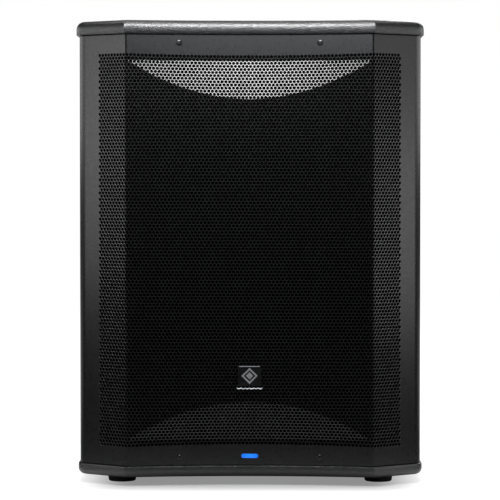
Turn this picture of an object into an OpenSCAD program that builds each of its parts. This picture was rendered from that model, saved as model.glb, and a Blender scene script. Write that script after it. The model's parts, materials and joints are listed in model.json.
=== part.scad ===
/* [Cabinet] */
// Width across the top plate
cabinet_w = 500; // [496:1:520]
// Depth from the front creases to the back edges of the plates
cabinet_d = 600; // [590:1:640]
// Height from the floor to the top of the cabinet
cabinet_h = 664; // [660:1:690]
// Thickness of the top plate
top_t = 20; // [18:1:24]
// Thickness of the bottom plate
bottom_t = 16; // [15:1:20]
// How much narrower the bottom plate is than the top plate, on each side
bottom_inset = 1.8; // [0:0.1:3]
// Thickness of the side boards
side_t = 15; // [13:1:16]
// Thickness of the baffle, the brace and the back board
board_t = 18; // [16:1:19]
// How far the top plate stands out past the side boards
overhang = 4.3; // [3:0.1:6]
// Radius of the rounded upper edge of the top plate
top_round = 11; // [4:1:13]
// Radius of the rounded lower edge of the bottom plate
bottom_round = 9; // [4:1:11]
// Radius of the plates' corners where the chamfers meet the sides
plate_corner_r = 22; // [12:1:26]
// Radius of the plates' back corners
plate_back_r = 14; // [6:1:20]
// Height of the rubber feet
foot_h = 12.5; // [10:0.5:20]
// Radius of the rubber feet
foot_r = 21; // [15:1:25]
// Distance of the feet from the middle plane, sideways
foot_x = 186; // [150:1:200]
// Distance of the feet from the middle plane, front and back
foot_y = 222; // [180:1:230]

/* [Front grille] */
// Half the distance between the two vertical creases of the grille
crease_x = 176.4; // [170:0.1:180]
// Angle by which the side wings fold back
wing_angle = 35; // [32:1:38]
// Depth of the concave bow in the upper and lower border strips
bow_depth = 17.3; // [10:0.1:18]
// Angle of the slanted crescents between the border strips and the flat field
crescent_tilt = 17.5; // [15:0.5:25]
// Height of each bowed border strip
border_h = 37.5; // [34:0.5:42]
// Thickness of the grille sheet
sheet_t = 1.5; // [1:0.1:1.5]
// Distance of the grille's creases behind the plates' front edges
grille_setback = 4; // [3:0.1:5]
// Radius of the roll where a wing turns into the side
roll_r = 22; // [18:1:24]
// Width of the foam behind the grille, as half of it
foam_x = 165; // [150:1:168]
// Distance of the grille screws from the middle, sideways
grille_screw_x = 100; // [95:1:104]
// Distance of the grille screws from the upper and lower edges of the grille
grille_screw_edge = 11; // [9:0.5:12]
// Width of the badge
badge_w = 33; // [20:1:40]
// Height of the badge
badge_h = 29; // [18:1:36]
// Height of the badge's centre above the floor
badge_z = 158.3; // [120:0.1:200]
// Length of the status light
lens_w = 24.4; // [18:0.1:30]
// Height of the status light
lens_h = 6; // [4:0.1:7]
// Height of the status light's centre above the floor
lens_z = 42.1; // [41:0.1:46]

/* [Woofer and ports] */
// Outer radius of the woofer's mounting flange
woofer_r = 229; // [226:0.5:229]
// Height of the woofer's axis above the floor
woofer_z = 412; // [410:0.5:413]
// Radius of the circle of woofer bolts
woofer_bolt_r = 219; // [218:0.5:220]
// Number of woofer bolts
woofer_bolts_n = 8; // [8]
// Furthest travel of the cone each way
cone_travel = 8; // [4:1:8]
// Inner radius of the port tubes
port_r = 47; // [40:1:47]
// Length of the port tubes
port_len = 230; // [150:5:250]
// Distance of the ports from the middle plane
port_x = 120; // [118:1:130]
// Height of the ports above the floor
port_z = 112; // [110:1:118]

/* [Handles and pole socket] */
// Length of a handle's flange, front to back
handle_w = 200; // [180:1:210]
// Height of a handle's flange
handle_h = 120; // [110:1:130]
// Depth of a handle's cup
handle_depth = 60; // [45:1:62]
// Place of the handles, front to back
handle_y = 5; // [0:1:8]
// Height of the handles above the floor
handle_z = 400; // [390:1:430]
// Radius of the handle bars
grip_r = 12; // [10:0.5:13]
// Bore radius of the pole socket, for a 35 mm pole
socket_bore_r = 18; // [17.7:0.1:19]
// Depth of the pole socket's bore
socket_depth = 69; // [60:1:80]
// Radius of the tapped hole under the bore, an M20 thread's core
socket_thread_r = 8.65; // [8:0.05:9]
// Place of the pole socket, front to back
socket_y = 0; // [0:1:40]

/* [Amplifier] */
// Width of the amplifier panel
amp_w = 280; // [270:1:300]
// Height of the amplifier panel
amp_h = 380; // [376:1:400]
// Height of the amplifier panel's centre above the floor
amp_z = 300; // [290:1:330]
// Thickness of the amplifier panel
panel_t = 3; // [2:0.5:3]
// Depth of the amplifier box
box_depth = 118; // [110:1:120]
// How far the back board is recessed behind the plates' back edges
back_recess = 20; // [19:1:24]
// Radius of the control knobs
knob_r = 9; // [7:0.5:12]
// Number of heatsink fins
fins = 20; // [10:1:24]
// Travel of the push buttons
button_travel = 2.5; // [1:0.5:2.5]
// Tilt of the power rocker each way
rocker_tilt = 10; // [6:1:12]
// Number of fan blades
fan_blades = 7; // [5:1:9]

/* [Hidden] */
$fn = 64;
eps = 0.5;

// Levels and planes shared by the enclosure
floor_top = foot_h + bottom_t;
roof_z = cabinet_h - top_t;
half_w = cabinet_w / 2;
half_d = cabinet_d / 2;
side_x = half_w - overhang;
inner_x = side_x - side_t;
baffle_front = -half_d + 64;
baffle_back = baffle_front + board_t;
side_front = baffle_front - 3;
side_step = baffle_front + 4;
back_outer = half_d - back_recess;
back_inner = back_outer - board_t;
side_back = half_d - overhang;
panel_face = back_outer + panel_t;

// Grille geometry
grille_gap = 1;
grille_lo = floor_top + grille_gap;
grille_hi = roof_z - grille_gap;
grille_mid = (grille_lo + grille_hi) / 2;
grille_y = -half_d + grille_setback;
field_dz = (roof_z - floor_top) / 2 - border_h;
plate_crease_x = crease_x + 1.6;
bow_steps = 24;
arc_steps = 6;
corner_turn = 90 - wing_angle;
roll_back = 2;

// Woofer stack, as depths behind the front face of the baffle
flange_t = 8;
surround_t = 1.5;
gasket_t = 6;
cutout_r = 211;
roll_mid_r = 196.5;
roll_outer_r = 8;
surround_edge = 212.6;
cone_rim_r = 189;
cone_body_r = 183;
cone_t = 1.6;
neck_depth = 71;
coil_r = 50.5;
coil_t = 0.9;
coil_start = 66;
winding_t = 1.5;
cap_r = 60;
cap_rise = 18;
cap_depth = 65.2;
spider_depth = 94.6;
spider_r = 90;
plate_start = 116;
plate_end = 128;
winding_start = plate_start + 2 - cone_travel;
coil_end = plate_end - 2 + cone_travel;
magnet_end = 152;
pole_end = 164;
magnet_plate_r = 100;
magnet_r = 110;
bolt_hole_r = 3.3;
bolt_r = 3;
bolt_head_r = 6;
bolt_head_h = 4.6;
tee_barrel_r = 4.2;
terminal_seat = 104.4;
lead_drop = terminal_seat + 10.4;
post_end = 124;
lead_x = 10;

// Ports
port_wall = 3.5;
flare_r = 10;
port_lip = 5;
port_flange_t = 3;
port_hole_r = port_r + flare_r + 0.2;

// Handles, screws and feet
cup_wall = 3;
handle_flange_t = 2;
cup_w = handle_w - 30;
cup_h = handle_h - 24;
handle_screw_inset = 9;
screw_r = 2;
screw_len = 18;
screw_head_r = 4.5;
screw_head_h = 2.2;
pilot_r = 2.1;
foot_screw_r = 2.4;
foot_pocket_r = 7;
foot_pocket_h = 6;
post_r = 6;
grille_bolt_r = 2.4;
grille_hole_r = 2.5;
grille_head_r = 4.25;
grille_head_h = 2.3;
head_gap = 0.15;

// Pole socket
socket_flange_r = 45;
socket_flange_t = 3;
socket_wall = 2.5;
socket_floor = 12;
socket_screw_r = 34;
socket_top = cabinet_h - screw_head_h - 0.2;
socket_low = socket_top - socket_depth;

// Layout of the amplifier panel
box_w = amp_w - 40;
box_h = amp_h - 40;
box_wall = 1.5;
box_floor = back_outer - box_depth;
amp_screw_inset = 8;
knob_z = amp_z + 40;
button_z = amp_z - 10;
level_x = 15;
crossover_x = 75;
polarity_x = 15;
low_cut_x = 75;
mains_x = -70;
mains_z = amp_z - 110;
rocker_x = 5;
fan_x = 80;
fan_z = amp_z - 110;
fan_size = 60;
fan_depth = 15;
fan_back = back_outer - 16;
fan_bore_r = 28;
hub_r = 12.5;
sink_w = 220;
sink_h = 80;
sink_z = amp_z + 130;
sink_base = 3;
fin_t = 2;
input_z = amp_z + 40;
output_z = amp_z - 10;
socket_xs = [-100, -55];
xlr_w = 26;
xlr_h = 31;
xlr_r = 11;
latch_w = 9;
latch_lo = 11.2;
latch_hi = 14.6;
control_board_y = back_outer - 25;
board_pcb_t = 1.6;
shaft_r = 3;
running = 0.05;
button_r = 4;
pivot_y = panel_face;
lamp_xs = [35, 45, 55];
lamp_z = amp_z - 30;

// Colours
paint = "#161719";
steel_black = "#1d1e20";
plastic = "#18191a";
zinc = "silver";

// Sag of a concave arc of half chord half_c, measured back from its end points
function bow(x, half_c) =
    let (r = (half_c * half_c + bow_depth * bow_depth) / (2 * bow_depth))
    bow_depth - r + sqrt(r * r - x * x);

function arc_points(cx, cy, r, from, to, steps) =
    [for (i = [0:steps]) let (a = from + (to - from) * i / steps) [cx + r * cos(a), cy + r * sin(a)]];

function mirrored(points) = [for (i = [len(points) - 1:-1:0]) [-points[i].x, points[i].y]];

// Corner list of a rectangle with rounded corners, centred on the origin
function rounded_rect(w, h, r) = concat(
    arc_points(w / 2 - r, -h / 2 + r, r, -90, 0, arc_steps),
    arc_points(w / 2 - r, h / 2 - r, r, 0, 90, arc_steps),
    arc_points(-w / 2 + r, h / 2 - r, r, 90, 180, arc_steps),
    arc_points(-w / 2 + r, -h / 2 + r, r, 180, 270, arc_steps)
);

// Right half of a plate's plan, from the crease to the back
function plate_half(hw) =
    let (corner_y = -half_d + (hw - plate_crease_x) * tan(wing_angle))
    let (turn_y = corner_y + plate_corner_r * tan(corner_turn / 2))
    concat(
        arc_points(hw - plate_corner_r, turn_y, plate_corner_r, -corner_turn, 0, arc_steps),
        arc_points(hw - plate_back_r, half_d - plate_back_r, plate_back_r, 0, 90, arc_steps)
    );

// Whole plan of a plate, anticlockwise: bowed front, chamfers, rounded corners
function plate_plan(hw) = concat(
    [for (i = [0:bow_steps])
        let (x = plate_crease_x * (2 * i / bow_steps - 1))
        [x, -half_d + bow(x, plate_crease_x)]],
    plate_half(hw),
    mirrored(plate_half(hw))
);

function inward(a, b) = let (d = (b - a) / norm(b - a)) [-d.y, d.x];

// The plan moved inward by d, with mitred corners
function inset_plan(points, d) =
    let (n = len(points))
    [for (i = [0:n - 1])
        let (before = inward(points[(i + n - 1) % n], points[i]))
        let (after = inward(points[i], points[(i + 1) % n]))
        points[i] + d * (before + after) / (1 + before * after)];

// A slab whose edge follows a list of [inset, height] rings, closed by fans round the middle
module ringed_slab(plan, rings) {
    n = len(plan);
    top = len(rings) - 1;
    low_middle = len(rings) * n;
    edges = [for (ring = rings) for (p = inset_plan(plan, ring[0])) [p.x, p.y, ring[1]]];
    corners = concat(edges, [[0, 0, rings[0][1]], [0, 0, rings[top][1]]]);
    walls = [for (k = [0:top - 1]) for (i = [0:n - 1])
        let (j = (i + 1) % n)
        [k * n + i, (k + 1) * n + i, (k + 1) * n + j, k * n + j]];
    caps = [for (i = [0:n - 1])
        let (j = (i + 1) % n)
        each [[i, j, low_middle], [top * n + j, top * n + i, low_middle + 1]]];
    polyhedron(points = corners, faces = concat(walls, caps));
}

// Solid rod along +Y, from y0 to y1
module y_rod(x, z, r, y0, y1) {
    translate([x, y0, z])
        rotate([-90, 0, 0])
            cylinder(h = y1 - y0, r = r);
}

// Block along Y, centred on x and z
module y_box(x, z, w, h, y0, y1) {
    translate([x - w / 2, y0, z - h / 2])
        cube([w, y1 - y0, h]);
}

// Rounded plate along Y, centred on x and z
module y_plate(x, z, w, h, r, y0, y1) {
    translate([x, y0, z])
        rotate([-90, 0, 0])
            linear_extrude(y1 - y0)
                polygon(rounded_rect(w, h, r));
}

// Woofer frame of reference: local +Z is depth behind the baffle's front face
module at_woofer() {
    translate([0, baffle_front, woofer_z])
        rotate([-90, 0, 0])
            children();
}

module at_woofer_bolts() {
    for (i = [0:woofer_bolts_n - 1])
        rotate([0, 0, (i + 0.5) * 360 / woofer_bolts_n])
            translate([woofer_bolt_r, 0, 0])
                children();
}

// Grille screw places: local +Y points into the cabinet along the sheet's normal
module at_grille_screws() {
    r = (crease_x * crease_x + bow_depth * bow_depth) / (2 * bow_depth);
    lean = asin(grille_screw_x / r);
    y = grille_y + bow(grille_screw_x, crease_x);
    for (side = [-1, 1], z = [grille_lo + grille_screw_edge, grille_hi - grille_screw_edge])
        translate([side * grille_screw_x, y, z])
            rotate([0, 0, -side * lean])
                children();
}

module at_feet() {
    for (x = [-foot_x, foot_x], y = [-foot_y, foot_y])
        translate([x, y, 0])
            children();
}

module at_socket_screws() {
    for (a = [45:90:315])
        translate([socket_screw_r * cos(a), socket_y + socket_screw_r * sin(a), socket_top])
            children();
}

// Places of the amplifier panel's screws, local +Z pointing out of the panel
module at_amp_screws() {
    x = amp_w / 2 - amp_screw_inset;
    z = amp_h / 2 - amp_screw_inset;
    for (sx = [-1, 0, 1], sz = [-1, 1])
        translate([sx * x, panel_face, amp_z + sz * z])
            rotate([-90, 0, 0])
                children();
    for (sx = [-1, 1])
        translate([sx * x, panel_face, amp_z])
            rotate([-90, 0, 0])
                children();
}

// Places of one handle's screws on the right side, local +Z pointing outward
module at_handle_screws() {
    for (sy = [-1, 1], sz = [-1, 1])
        translate([side_x + handle_flange_t,
                   handle_y + sy * (handle_w / 2 - handle_screw_inset),
                   handle_z + sz * (handle_h / 2 - handle_screw_inset)])
            rotate([0, 90, 0])
                children();
}

// Pan-head screw with its head's seat at the origin
module pan_screw() {
    cylinder(h = screw_head_h, r = screw_head_r);
    translate([0, 0, -screw_len])
        cylinder(h = screw_len + eps, r = screw_r);
}

module pilot(depth) {
    translate([0, 0, -depth])
        cylinder(h = depth + eps, r = pilot_r);
}

// Thick top board with a rounded upper edge and a sunk seat for the pole socket
module top_plate() {
    straight = cabinet_h - top_round;
    edge = [for (i = [1:arc_steps])
        let (a = 90 * i / arc_steps)
        [top_round * (1 - cos(a)), straight + top_round * sin(a)]];
    color(paint)
        difference() {
            ringed_slab(plate_plan(half_w), concat([[1, roof_z], [0, roof_z + 1], [0, straight]], edge));
            translate([0, socket_y, socket_top - socket_flange_t])
                cylinder(h = top_t, r = socket_flange_r + eps);
            translate([0, socket_y, roof_z - 1])
                cylinder(h = top_t, r = socket_bore_r + socket_wall + eps);
            at_socket_screws()
                pilot(screw_len + 1);
        }
}

// Bottom board with a rounded lower edge
module bottom_plate() {
    edge = [for (i = [0:arc_steps - 1])
        let (a = 90 * i / arc_steps)
        [bottom_round * (1 - sin(a)), foot_h + bottom_round * (1 - cos(a))]];
    rings = concat(edge, [[0, foot_h + bottom_round], [0, floor_top - 1], [1, floor_top]]);
    color(paint)
        difference() {
            ringed_slab(plate_plan(half_w - bottom_inset), rings);
            at_feet()
                translate([0, 0, foot_h - 1])
                    cylinder(h = bottom_t - 1, r = foot_screw_r + running);
        }
}

// Right side board, stepped at the front where the grille's edge laps over it
module side_board() {
    color(paint)
        difference() {
            union() {
                translate([inner_x, side_step, floor_top])
                    cube([side_t, side_back - side_step, roof_z - floor_top]);
                translate([inner_x, side_front, floor_top])
                    cube([side_t - sheet_t - 2 * eps, side_step - side_front + 1, roof_z - floor_top]);
            }
            translate([inner_x - 1, handle_y - cup_w / 2 - 1, handle_z - cup_h / 2 - 1])
                cube([side_t + 2, cup_w + 2, cup_h + 2]);
            at_handle_screws()
                pilot(screw_len + handle_flange_t);
        }
}

module left_side_board() {
    mirror([1, 0, 0])
        side_board();
}

module right_side_board() {
    side_board();
}

// Board that carries the woofer, the ports and the grille's posts
module front_baffle() {
    color(paint)
        difference() {
            y_box(0, (floor_top + roof_z) / 2, 2 * inner_x, roof_z - floor_top, baffle_front, baffle_back);
            y_rod(0, woofer_z, cutout_r, baffle_front - 1, baffle_back + 1);
            for (side = [-1, 1])
                y_rod(side * port_x, port_z, port_hole_r, baffle_front - 1, baffle_back + 1);
            at_woofer()
                at_woofer_bolts()
                    translate([0, 0, -1])
                        cylinder(h = board_t + 2, r = tee_barrel_r + 0.1);
        }
}

module back_board() {
    color(paint)
        difference() {
            y_box(0, (floor_top + roof_z) / 2, 2 * inner_x, roof_z - floor_top, back_inner, back_outer);
            y_plate(0, amp_z, box_w + 6, box_h + 6, 4, back_inner - 1, back_outer + 1);
            at_amp_screws()
                pilot(screw_len + panel_t);
        }
}

// Upright brace with a large window, glued between the sides
module window_brace() {
    brace_y = 110;
    frame_w = 50;
    window_w = 2 * inner_x - 2 * frame_w;
    window_h = roof_z - floor_top - 2 * frame_w;
    color("#8a7350")
        difference() {
            y_box(0, grille_mid, 2 * inner_x, roof_z - floor_top, brace_y, brace_y + board_t);
            y_plate(0, grille_mid, window_w, window_h, 30, brace_y - 1, brace_y + board_t + 1);
        }
}

// Tube with a flared mouth and a flange on the baffle
module port(side) {
    mouth_r = port_r + flare_r;
    flange_r = mouth_r + port_lip;
    collar = flare_r + 2;
    color(plastic)
        translate([side * port_x, baffle_front - port_flange_t, port_z])
            rotate([-90, 0, 0])
                rotate_extrude()
                    polygon(concat(
                        arc_points(mouth_r, flare_r, flare_r, 180, 270, arc_steps),
                        [[flange_r, 0], [flange_r, port_flange_t], [mouth_r, port_flange_t],
                         [mouth_r, collar], [port_r + port_wall, collar],
                         [port_r + port_wall, port_len], [port_r, port_len]]
                    ));
}

module left_port() {
    port(-1);
}

module right_port() {
    port(1);
}

// Foam pads on the sides and the floor of the chamber
module acoustic_lining() {
    pad_t = 18;
    pad_y = -190;
    pad_len = 290;
    pad_h = 250;
    color("dimgray") {
        for (x = [-inner_x, inner_x - pad_t])
            translate([x, pad_y, floor_top + 40])
                cube([pad_t, pad_len, pad_h]);
        translate([-inner_x + 30, pad_y, floor_top])
            cube([2 * inner_x - 60, pad_len, pad_t]);
    }
}

// A column of the folded sheet: [outer x, outer y, inner x, inner y, bow at this column]
function field_column(x, front, back) = [x, grille_y + front, x, grille_y + back, bow(x, crease_x)];

function crease_column(side) =
    let (lean = sin(wing_angle) / (1 + cos(wing_angle)))
    [side * crease_x, grille_y, side * (crease_x - sheet_t * lean), grille_y + sheet_t, 0];

// Columns of the right wing: straight to the roll, round the roll, then a short return
function wing_columns() =
    let (corner_y = grille_y + (side_x - crease_x) * tan(wing_angle))
    let (turn_y = corner_y + roll_r * tan(corner_turn / 2))
    let (roll = [for (i = [0:arc_steps]) -corner_turn * (1 - i / arc_steps)])
    concat(
        [for (a = roll)
            [side_x - roll_r + roll_r * cos(a), turn_y + roll_r * sin(a),
             side_x - roll_r + (roll_r - sheet_t) * cos(a), turn_y + (roll_r - sheet_t) * sin(a), 0]],
        [[side_x, turn_y + roll_back, side_x - sheet_t, turn_y + roll_back, 0]]
    );

function flipped(columns) =
    [for (i = [len(columns) - 1:-1:0])
        let (c = columns[i])
        [-c[0], c[1], -c[2], c[3], c[4]]];

// Height and recess of the six lines at which the sheet is folded
function fold_lines(bow_here, lo, hi) =
    let (fold = field_dz - max(bow_here / tan(crescent_tilt), eps))
    [[lo, bow_here], [grille_mid - field_dz, bow_here], [grille_mid - fold, 0],
     [grille_mid + fold, 0], [grille_mid + field_dz, bow_here], [hi, bow_here]];

// Closed sheet through a list of columns, folded along the six lines
module folded_sheet(columns, lo, hi) {
    rows = 6;
    cols = len(columns);
    half = cols * rows;
    outer = [for (c = columns) for (f = fold_lines(c[4], lo, hi)) [c[0], c[1] + f[1], f[0]]];
    inner = [for (c = columns) for (f = fold_lines(c[4], lo, hi)) [c[2], c[3] + f[1], f[0]]];
    skin = [for (i = [0:cols - 2]) for (k = [0:rows - 2])
        let (a = i * rows + k)
        let (b = a + rows)
        each [[a, a + 1, b + 1], [a, b + 1, b]]];
    lining = [for (t = skin) [half + t[0], half + t[2], half + t[1]]];
    low_rim = [for (i = [0:cols - 2])
        let (a = i * rows)
        each [[a, a + rows, half + a + rows], [a, half + a + rows, half + a]]];
    high_rim = [for (i = [0:cols - 2])
        let (a = i * rows + rows - 1)
        each [[a, half + a, half + a + rows], [a, half + a + rows, a + rows]]];
    left_rim = [for (k = [0:rows - 2]) each [[k, half + k, half + k + 1], [k, half + k + 1, k + 1]]];
    last = half - rows;
    right_rim = [for (k = [last:half - 2]) each [[k, k + 1, half + k + 1], [k, half + k + 1, half + k]]];
    polyhedron(
        points = concat(outer, inner),
        faces = concat(skin, lining, low_rim, high_rim, left_rim, right_rim)
    );
}

// Folded steel sheet: flat field, slanted crescents, bowed borders and two wings
module grille() {
    inside = [for (i = [1:bow_steps - 1]) crease_x * (2 * i / bow_steps - 1)];
    columns = concat(
        flipped(wing_columns()),
        [crease_column(-1)],
        [for (x = inside) field_column(x, 0, sheet_t)],
        [crease_column(1)],
        wing_columns()
    );
    color(steel_black)
        difference() {
            folded_sheet(columns, grille_lo, grille_hi);
            at_grille_screws()
                y_rod(0, 0, grille_hole_r, -5, 5);
            y_plate(0, lens_z, lens_w + 0.6, lens_h + 0.6, (lens_h + 0.6) / 2 - 0.1, grille_y + 5, grille_y + 30);
            for (x = [-badge_w / 3, badge_w / 3])
                y_rod(x, badge_z, 1.7, grille_y - 5, grille_y + 5);
        }
}

// Foam backing that follows the folded sheet
module grille_foam() {
    front = sheet_t + 0.5;
    foam_t = 4;
    columns = [for (i = [0:bow_steps])
        field_column(foam_x * (2 * i / bow_steps - 1), front, front + foam_t)];
    edge = border_h - 6;
    color("#101011")
        difference() {
            folded_sheet(columns, grille_lo + edge, grille_hi - edge);
            for (x = [-badge_w / 3, badge_w / 3])
                y_rod(x, badge_z, 3, grille_y - 5, grille_y + 15);
        }
}

// Round posts from the baffle to the back of the grille's border strips
module grille_posts() {
    reach = baffle_front - grille_y - bow(grille_screw_x, crease_x);
    color(zinc)
        intersection() {
            at_grille_screws()
                difference() {
                    y_rod(0, 0, post_r, sheet_t + 0.2, reach + 5);
                    y_rod(0, 0, grille_hole_r, 0, 20);
                }
            y_box(0, cabinet_h / 2, cabinet_w, cabinet_h, -half_d, baffle_front);
        }
}

module grille_screws() {
    color("#202124")
        at_grille_screws()
            difference() {
                union() {
                    y_rod(0, 0, grille_head_r, -grille_head_h, -head_gap);
                    y_rod(0, 0, grille_bolt_r, -1, 16);
                }
                translate([0, -grille_head_h - 1, 0])
                    rotate([-90, 0, 0])
                        cylinder(h = 2.4, r = 1.7, $fn = 6);
            }
}

// Plain raised emblem: a diamond inside a diamond outline, on a small plate with two pins
module badge() {
    plate_back = grille_y - 0.1;
    plate_front = plate_back - 1.8;
    outline = 0.72 * badge_h / sqrt(2);
    color("silver") {
        y_plate(0, badge_z, badge_w, badge_h, 3, plate_front, plate_back);
        difference() {
            diamond(outline, plate_front - 0.7, plate_front + 0.2);
            diamond(outline - 3.6, plate_front - 2, plate_front + 1);
        }
        diamond(outline - 8, plate_front - 0.7, plate_front + 0.2);
        for (x = [-badge_w / 3, badge_w / 3])
            y_rod(x, badge_z, 1.5, plate_back - 0.5, grille_y + 7);
    }
}

module diamond(side, y0, y1) {
    translate([0, 0, badge_z])
        rotate([0, 45, 0])
            y_box(0, 0, side, side, y0, y1);
}

// Clear bar that shows the power state
module status_lens() {
    y = grille_y + bow_depth;
    color("#1a6be0")
        y_plate(0, lens_z, lens_w, lens_h, lens_h / 2 - 0.1, y - 1, y + 6);
}

module status_board() {
    y = grille_y + bow_depth + 6.2;
    color("darkgreen") {
        y_box(0, lens_z, 44, 10, y, y + board_pcb_t);
        for (x = [-16, 16])
            y_rod(x, lens_z, 3, y + 1, baffle_front);
    }
}

// Cast basket: flange, conical wall with six windows, ledge and seat for the magnet
module woofer_frame() {
    wall = [
        [206, -flange_t], [woofer_r, -flange_t], [woofer_r, 0], [210, 0], [203, 20],
        [104, 98], [104, plate_start], [56, plate_start], [56, 110], [84, 110],
        [84, 96], [99, 96], [199, 18], [206, 0]
    ];
    window = [[116, -26], [194, -66], [194, 66], [116, 26]];
    color("#303236")
        at_woofer()
            difference() {
                rotate_extrude()
                    polygon(wall);
                for (i = [0:5])
                    rotate([0, 0, 60 * i])
                        translate([0, 0, 5])
                            linear_extrude(92)
                                polygon(window);
                at_woofer_bolts()
                    translate([0, 0, -flange_t - 1])
                        cylinder(h = flange_t + 2, r = bolt_hole_r);
            }
}

// Ring over the flange, stepped over the surround's edge and open round the bolts
module woofer_gasket() {
    inner_r = 207;
    step_r = surround_edge + 0.4;
    color("#141414")
        at_woofer()
            difference() {
                rotate_extrude()
                    polygon([
                        [inner_r, -flange_t - gasket_t], [woofer_r, -flange_t - gasket_t],
                        [woofer_r, -flange_t], [step_r, -flange_t],
                        [step_r, -flange_t - surround_t - 0.1],
                        [inner_r, -flange_t - surround_t - 0.1]
                    ]);
                at_woofer_bolts()
                    translate([0, 0, -flange_t - gasket_t - 1])
                        cylinder(h = gasket_t + 2, r = bolt_head_r + 1);
            }
}

// Half-roll edge between the frame and the cone
module surround() {
    seat = -flange_t;
    color("#151515")
        at_woofer()
            rotate_extrude()
                union() {
                    intersection() {
                        translate([roll_mid_r, seat])
                            difference() {
                                circle(r = roll_outer_r);
                                circle(r = roll_outer_r - surround_t);
                            }
                        translate([roll_mid_r - 20, seat - 20])
                            square([40, 20]);
                    }
                    translate([roll_mid_r + roll_outer_r - surround_t, seat - surround_t])
                        square([surround_edge - roll_mid_r - roll_outer_r + surround_t, surround_t]);
                    translate([cone_body_r, seat - surround_t])
                        square([roll_mid_r - roll_outer_r + surround_t - cone_body_r, surround_t]);
                }
}

// Paper cone with a flat rim
module cone() {
    top = -flange_t + 0.1;
    neck_r = coil_r + 0.1;
    color("#1b1b1c")
        at_woofer()
            rotate_extrude()
                polygon([
                    [cone_rim_r, top], [cone_rim_r, top + cone_t], [cone_body_r, top + cone_t],
                    [neck_r + 2, neck_depth + cone_t], [neck_r, neck_depth + cone_t],
                    [neck_r, neck_depth], [cone_body_r - 1, top]
                ]);
}

// Shallow dome over the voice coil
module dust_cap() {
    dome_r = (cap_r * cap_r + cap_rise * cap_rise) / (2 * cap_rise);
    color("#161616")
        at_woofer()
            rotate_extrude()
                intersection() {
                    translate([0, cap_depth - cap_rise + dome_r])
                        difference() {
                            circle(r = dome_r, $fn = 96);
                            circle(r = dome_r - 1, $fn = 96);
                        }
                    translate([0, cap_depth - cap_rise - 1])
                        square([cap_r, cap_rise + 1]);
                }
}

// Corrugated suspension disc between the coil and the frame's ledge
module spider() {
    waves = 4;
    steps = 24;
    flat_r = 84;
    inner_r = coil_r + 0.1;
    wave_h = 2.4;
    thick = 1.2;
    path = [for (i = [0:steps])
        let (t = i / steps)
        [inner_r + (flat_r - inner_r) * t, spider_depth + wave_h * sin(360 * waves * t)]];
    back = [for (i = [steps:-1:0]) path[i] + [0, thick]];
    color("#c8a860")
        at_woofer()
            rotate_extrude()
                polygon(concat(path, [[spider_r, spider_depth], [spider_r, spider_depth + thick]], back));
}

// Former with its winding
module voice_coil() {
    color("#b06a35")
        at_woofer()
            rotate_extrude()
                union() {
                    translate([coil_r - coil_t, coil_start])
                        square([coil_t, coil_end - coil_start]);
                    translate([coil_r - coil_t, winding_start])
                        square([coil_t + winding_t, coil_end - winding_start]);
                }
}

// Tube of the magnet system along the woofer's axis
module depth_ring(r_in, r_out, from, to) {
    at_woofer()
        translate([0, 0, from])
            difference() {
                cylinder(h = to - from, r = r_out);
                translate([0, 0, -1])
                    cylinder(h = to - from + 2, r = r_in);
            }
}

module magnet_front_plate() {
    color(zinc)
        depth_ring(coil_r + winding_t + 1.4, magnet_plate_r, plate_start, plate_end);
}

module magnet() {
    color("#2b2b2d")
        depth_ring(65, magnet_r, plate_end, magnet_end);
}

// Back plate and vented pole in one turned piece
module pole_piece() {
    color(zinc)
        at_woofer()
            difference() {
                union() {
                    translate([0, 0, plate_start - 1])
                        cylinder(h = pole_end - plate_start + 1, r = coil_r - coil_t - 1.2);
                    translate([0, 0, magnet_end])
                        cylinder(h = pole_end - magnet_end, r = magnet_plate_r);
                }
                translate([0, 0, plate_start - 2])
                    cylinder(h = pole_end - plate_start + 3, r = 16);
            }
}

// Terminal block on the basket's lower side, with two posts
module woofer_terminals() {
    block = [44, 16, 14];
    block_depth = 100;
    color("firebrick")
        at_woofer() {
            translate([-block.x / 2, terminal_seat, block_depth])
                cube(block);
            for (x = [-lead_x, lead_x])
                translate([x, lead_drop, block_depth + block.z - 1])
                    cylinder(h = post_end - block_depth - block.z + 1, r = 2);
        }
}

module woofer_bolts() {
    color("#26272a")
        at_woofer()
            at_woofer_bolts() {
                translate([0, 0, -flange_t - bolt_head_h])
                    cylinder(h = bolt_head_h, r = bolt_head_r);
                translate([0, 0, -flange_t - 1])
                    cylinder(h = 36, r = bolt_r);
            }
}

// Flanged nuts pressed into the back of the baffle
module tee_nuts() {
    barrel = 10;
    color(zinc)
        at_woofer()
            at_woofer_bolts()
                translate([0, 0, board_t])
                    difference() {
                        union() {
                            translate([0, 0, -barrel])
                                cylinder(h = barrel + 1, r = tee_barrel_r);
                            cylinder(h = 1.8, r = 9);
                        }
                        translate([0, 0, -barrel - 1])
                            cylinder(h = barrel + 4, r = bolt_r + 0.1);
                    }
}

// Pair of leads from the woofer's terminals to the amplifier box
module speaker_cable() {
    start = baffle_front + post_end + 0.2;
    color("black")
        for (x = [-lead_x, lead_x])
            y_rod(x, woofer_z - lead_drop, 2.5, start, box_floor - 0.2);
}

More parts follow.
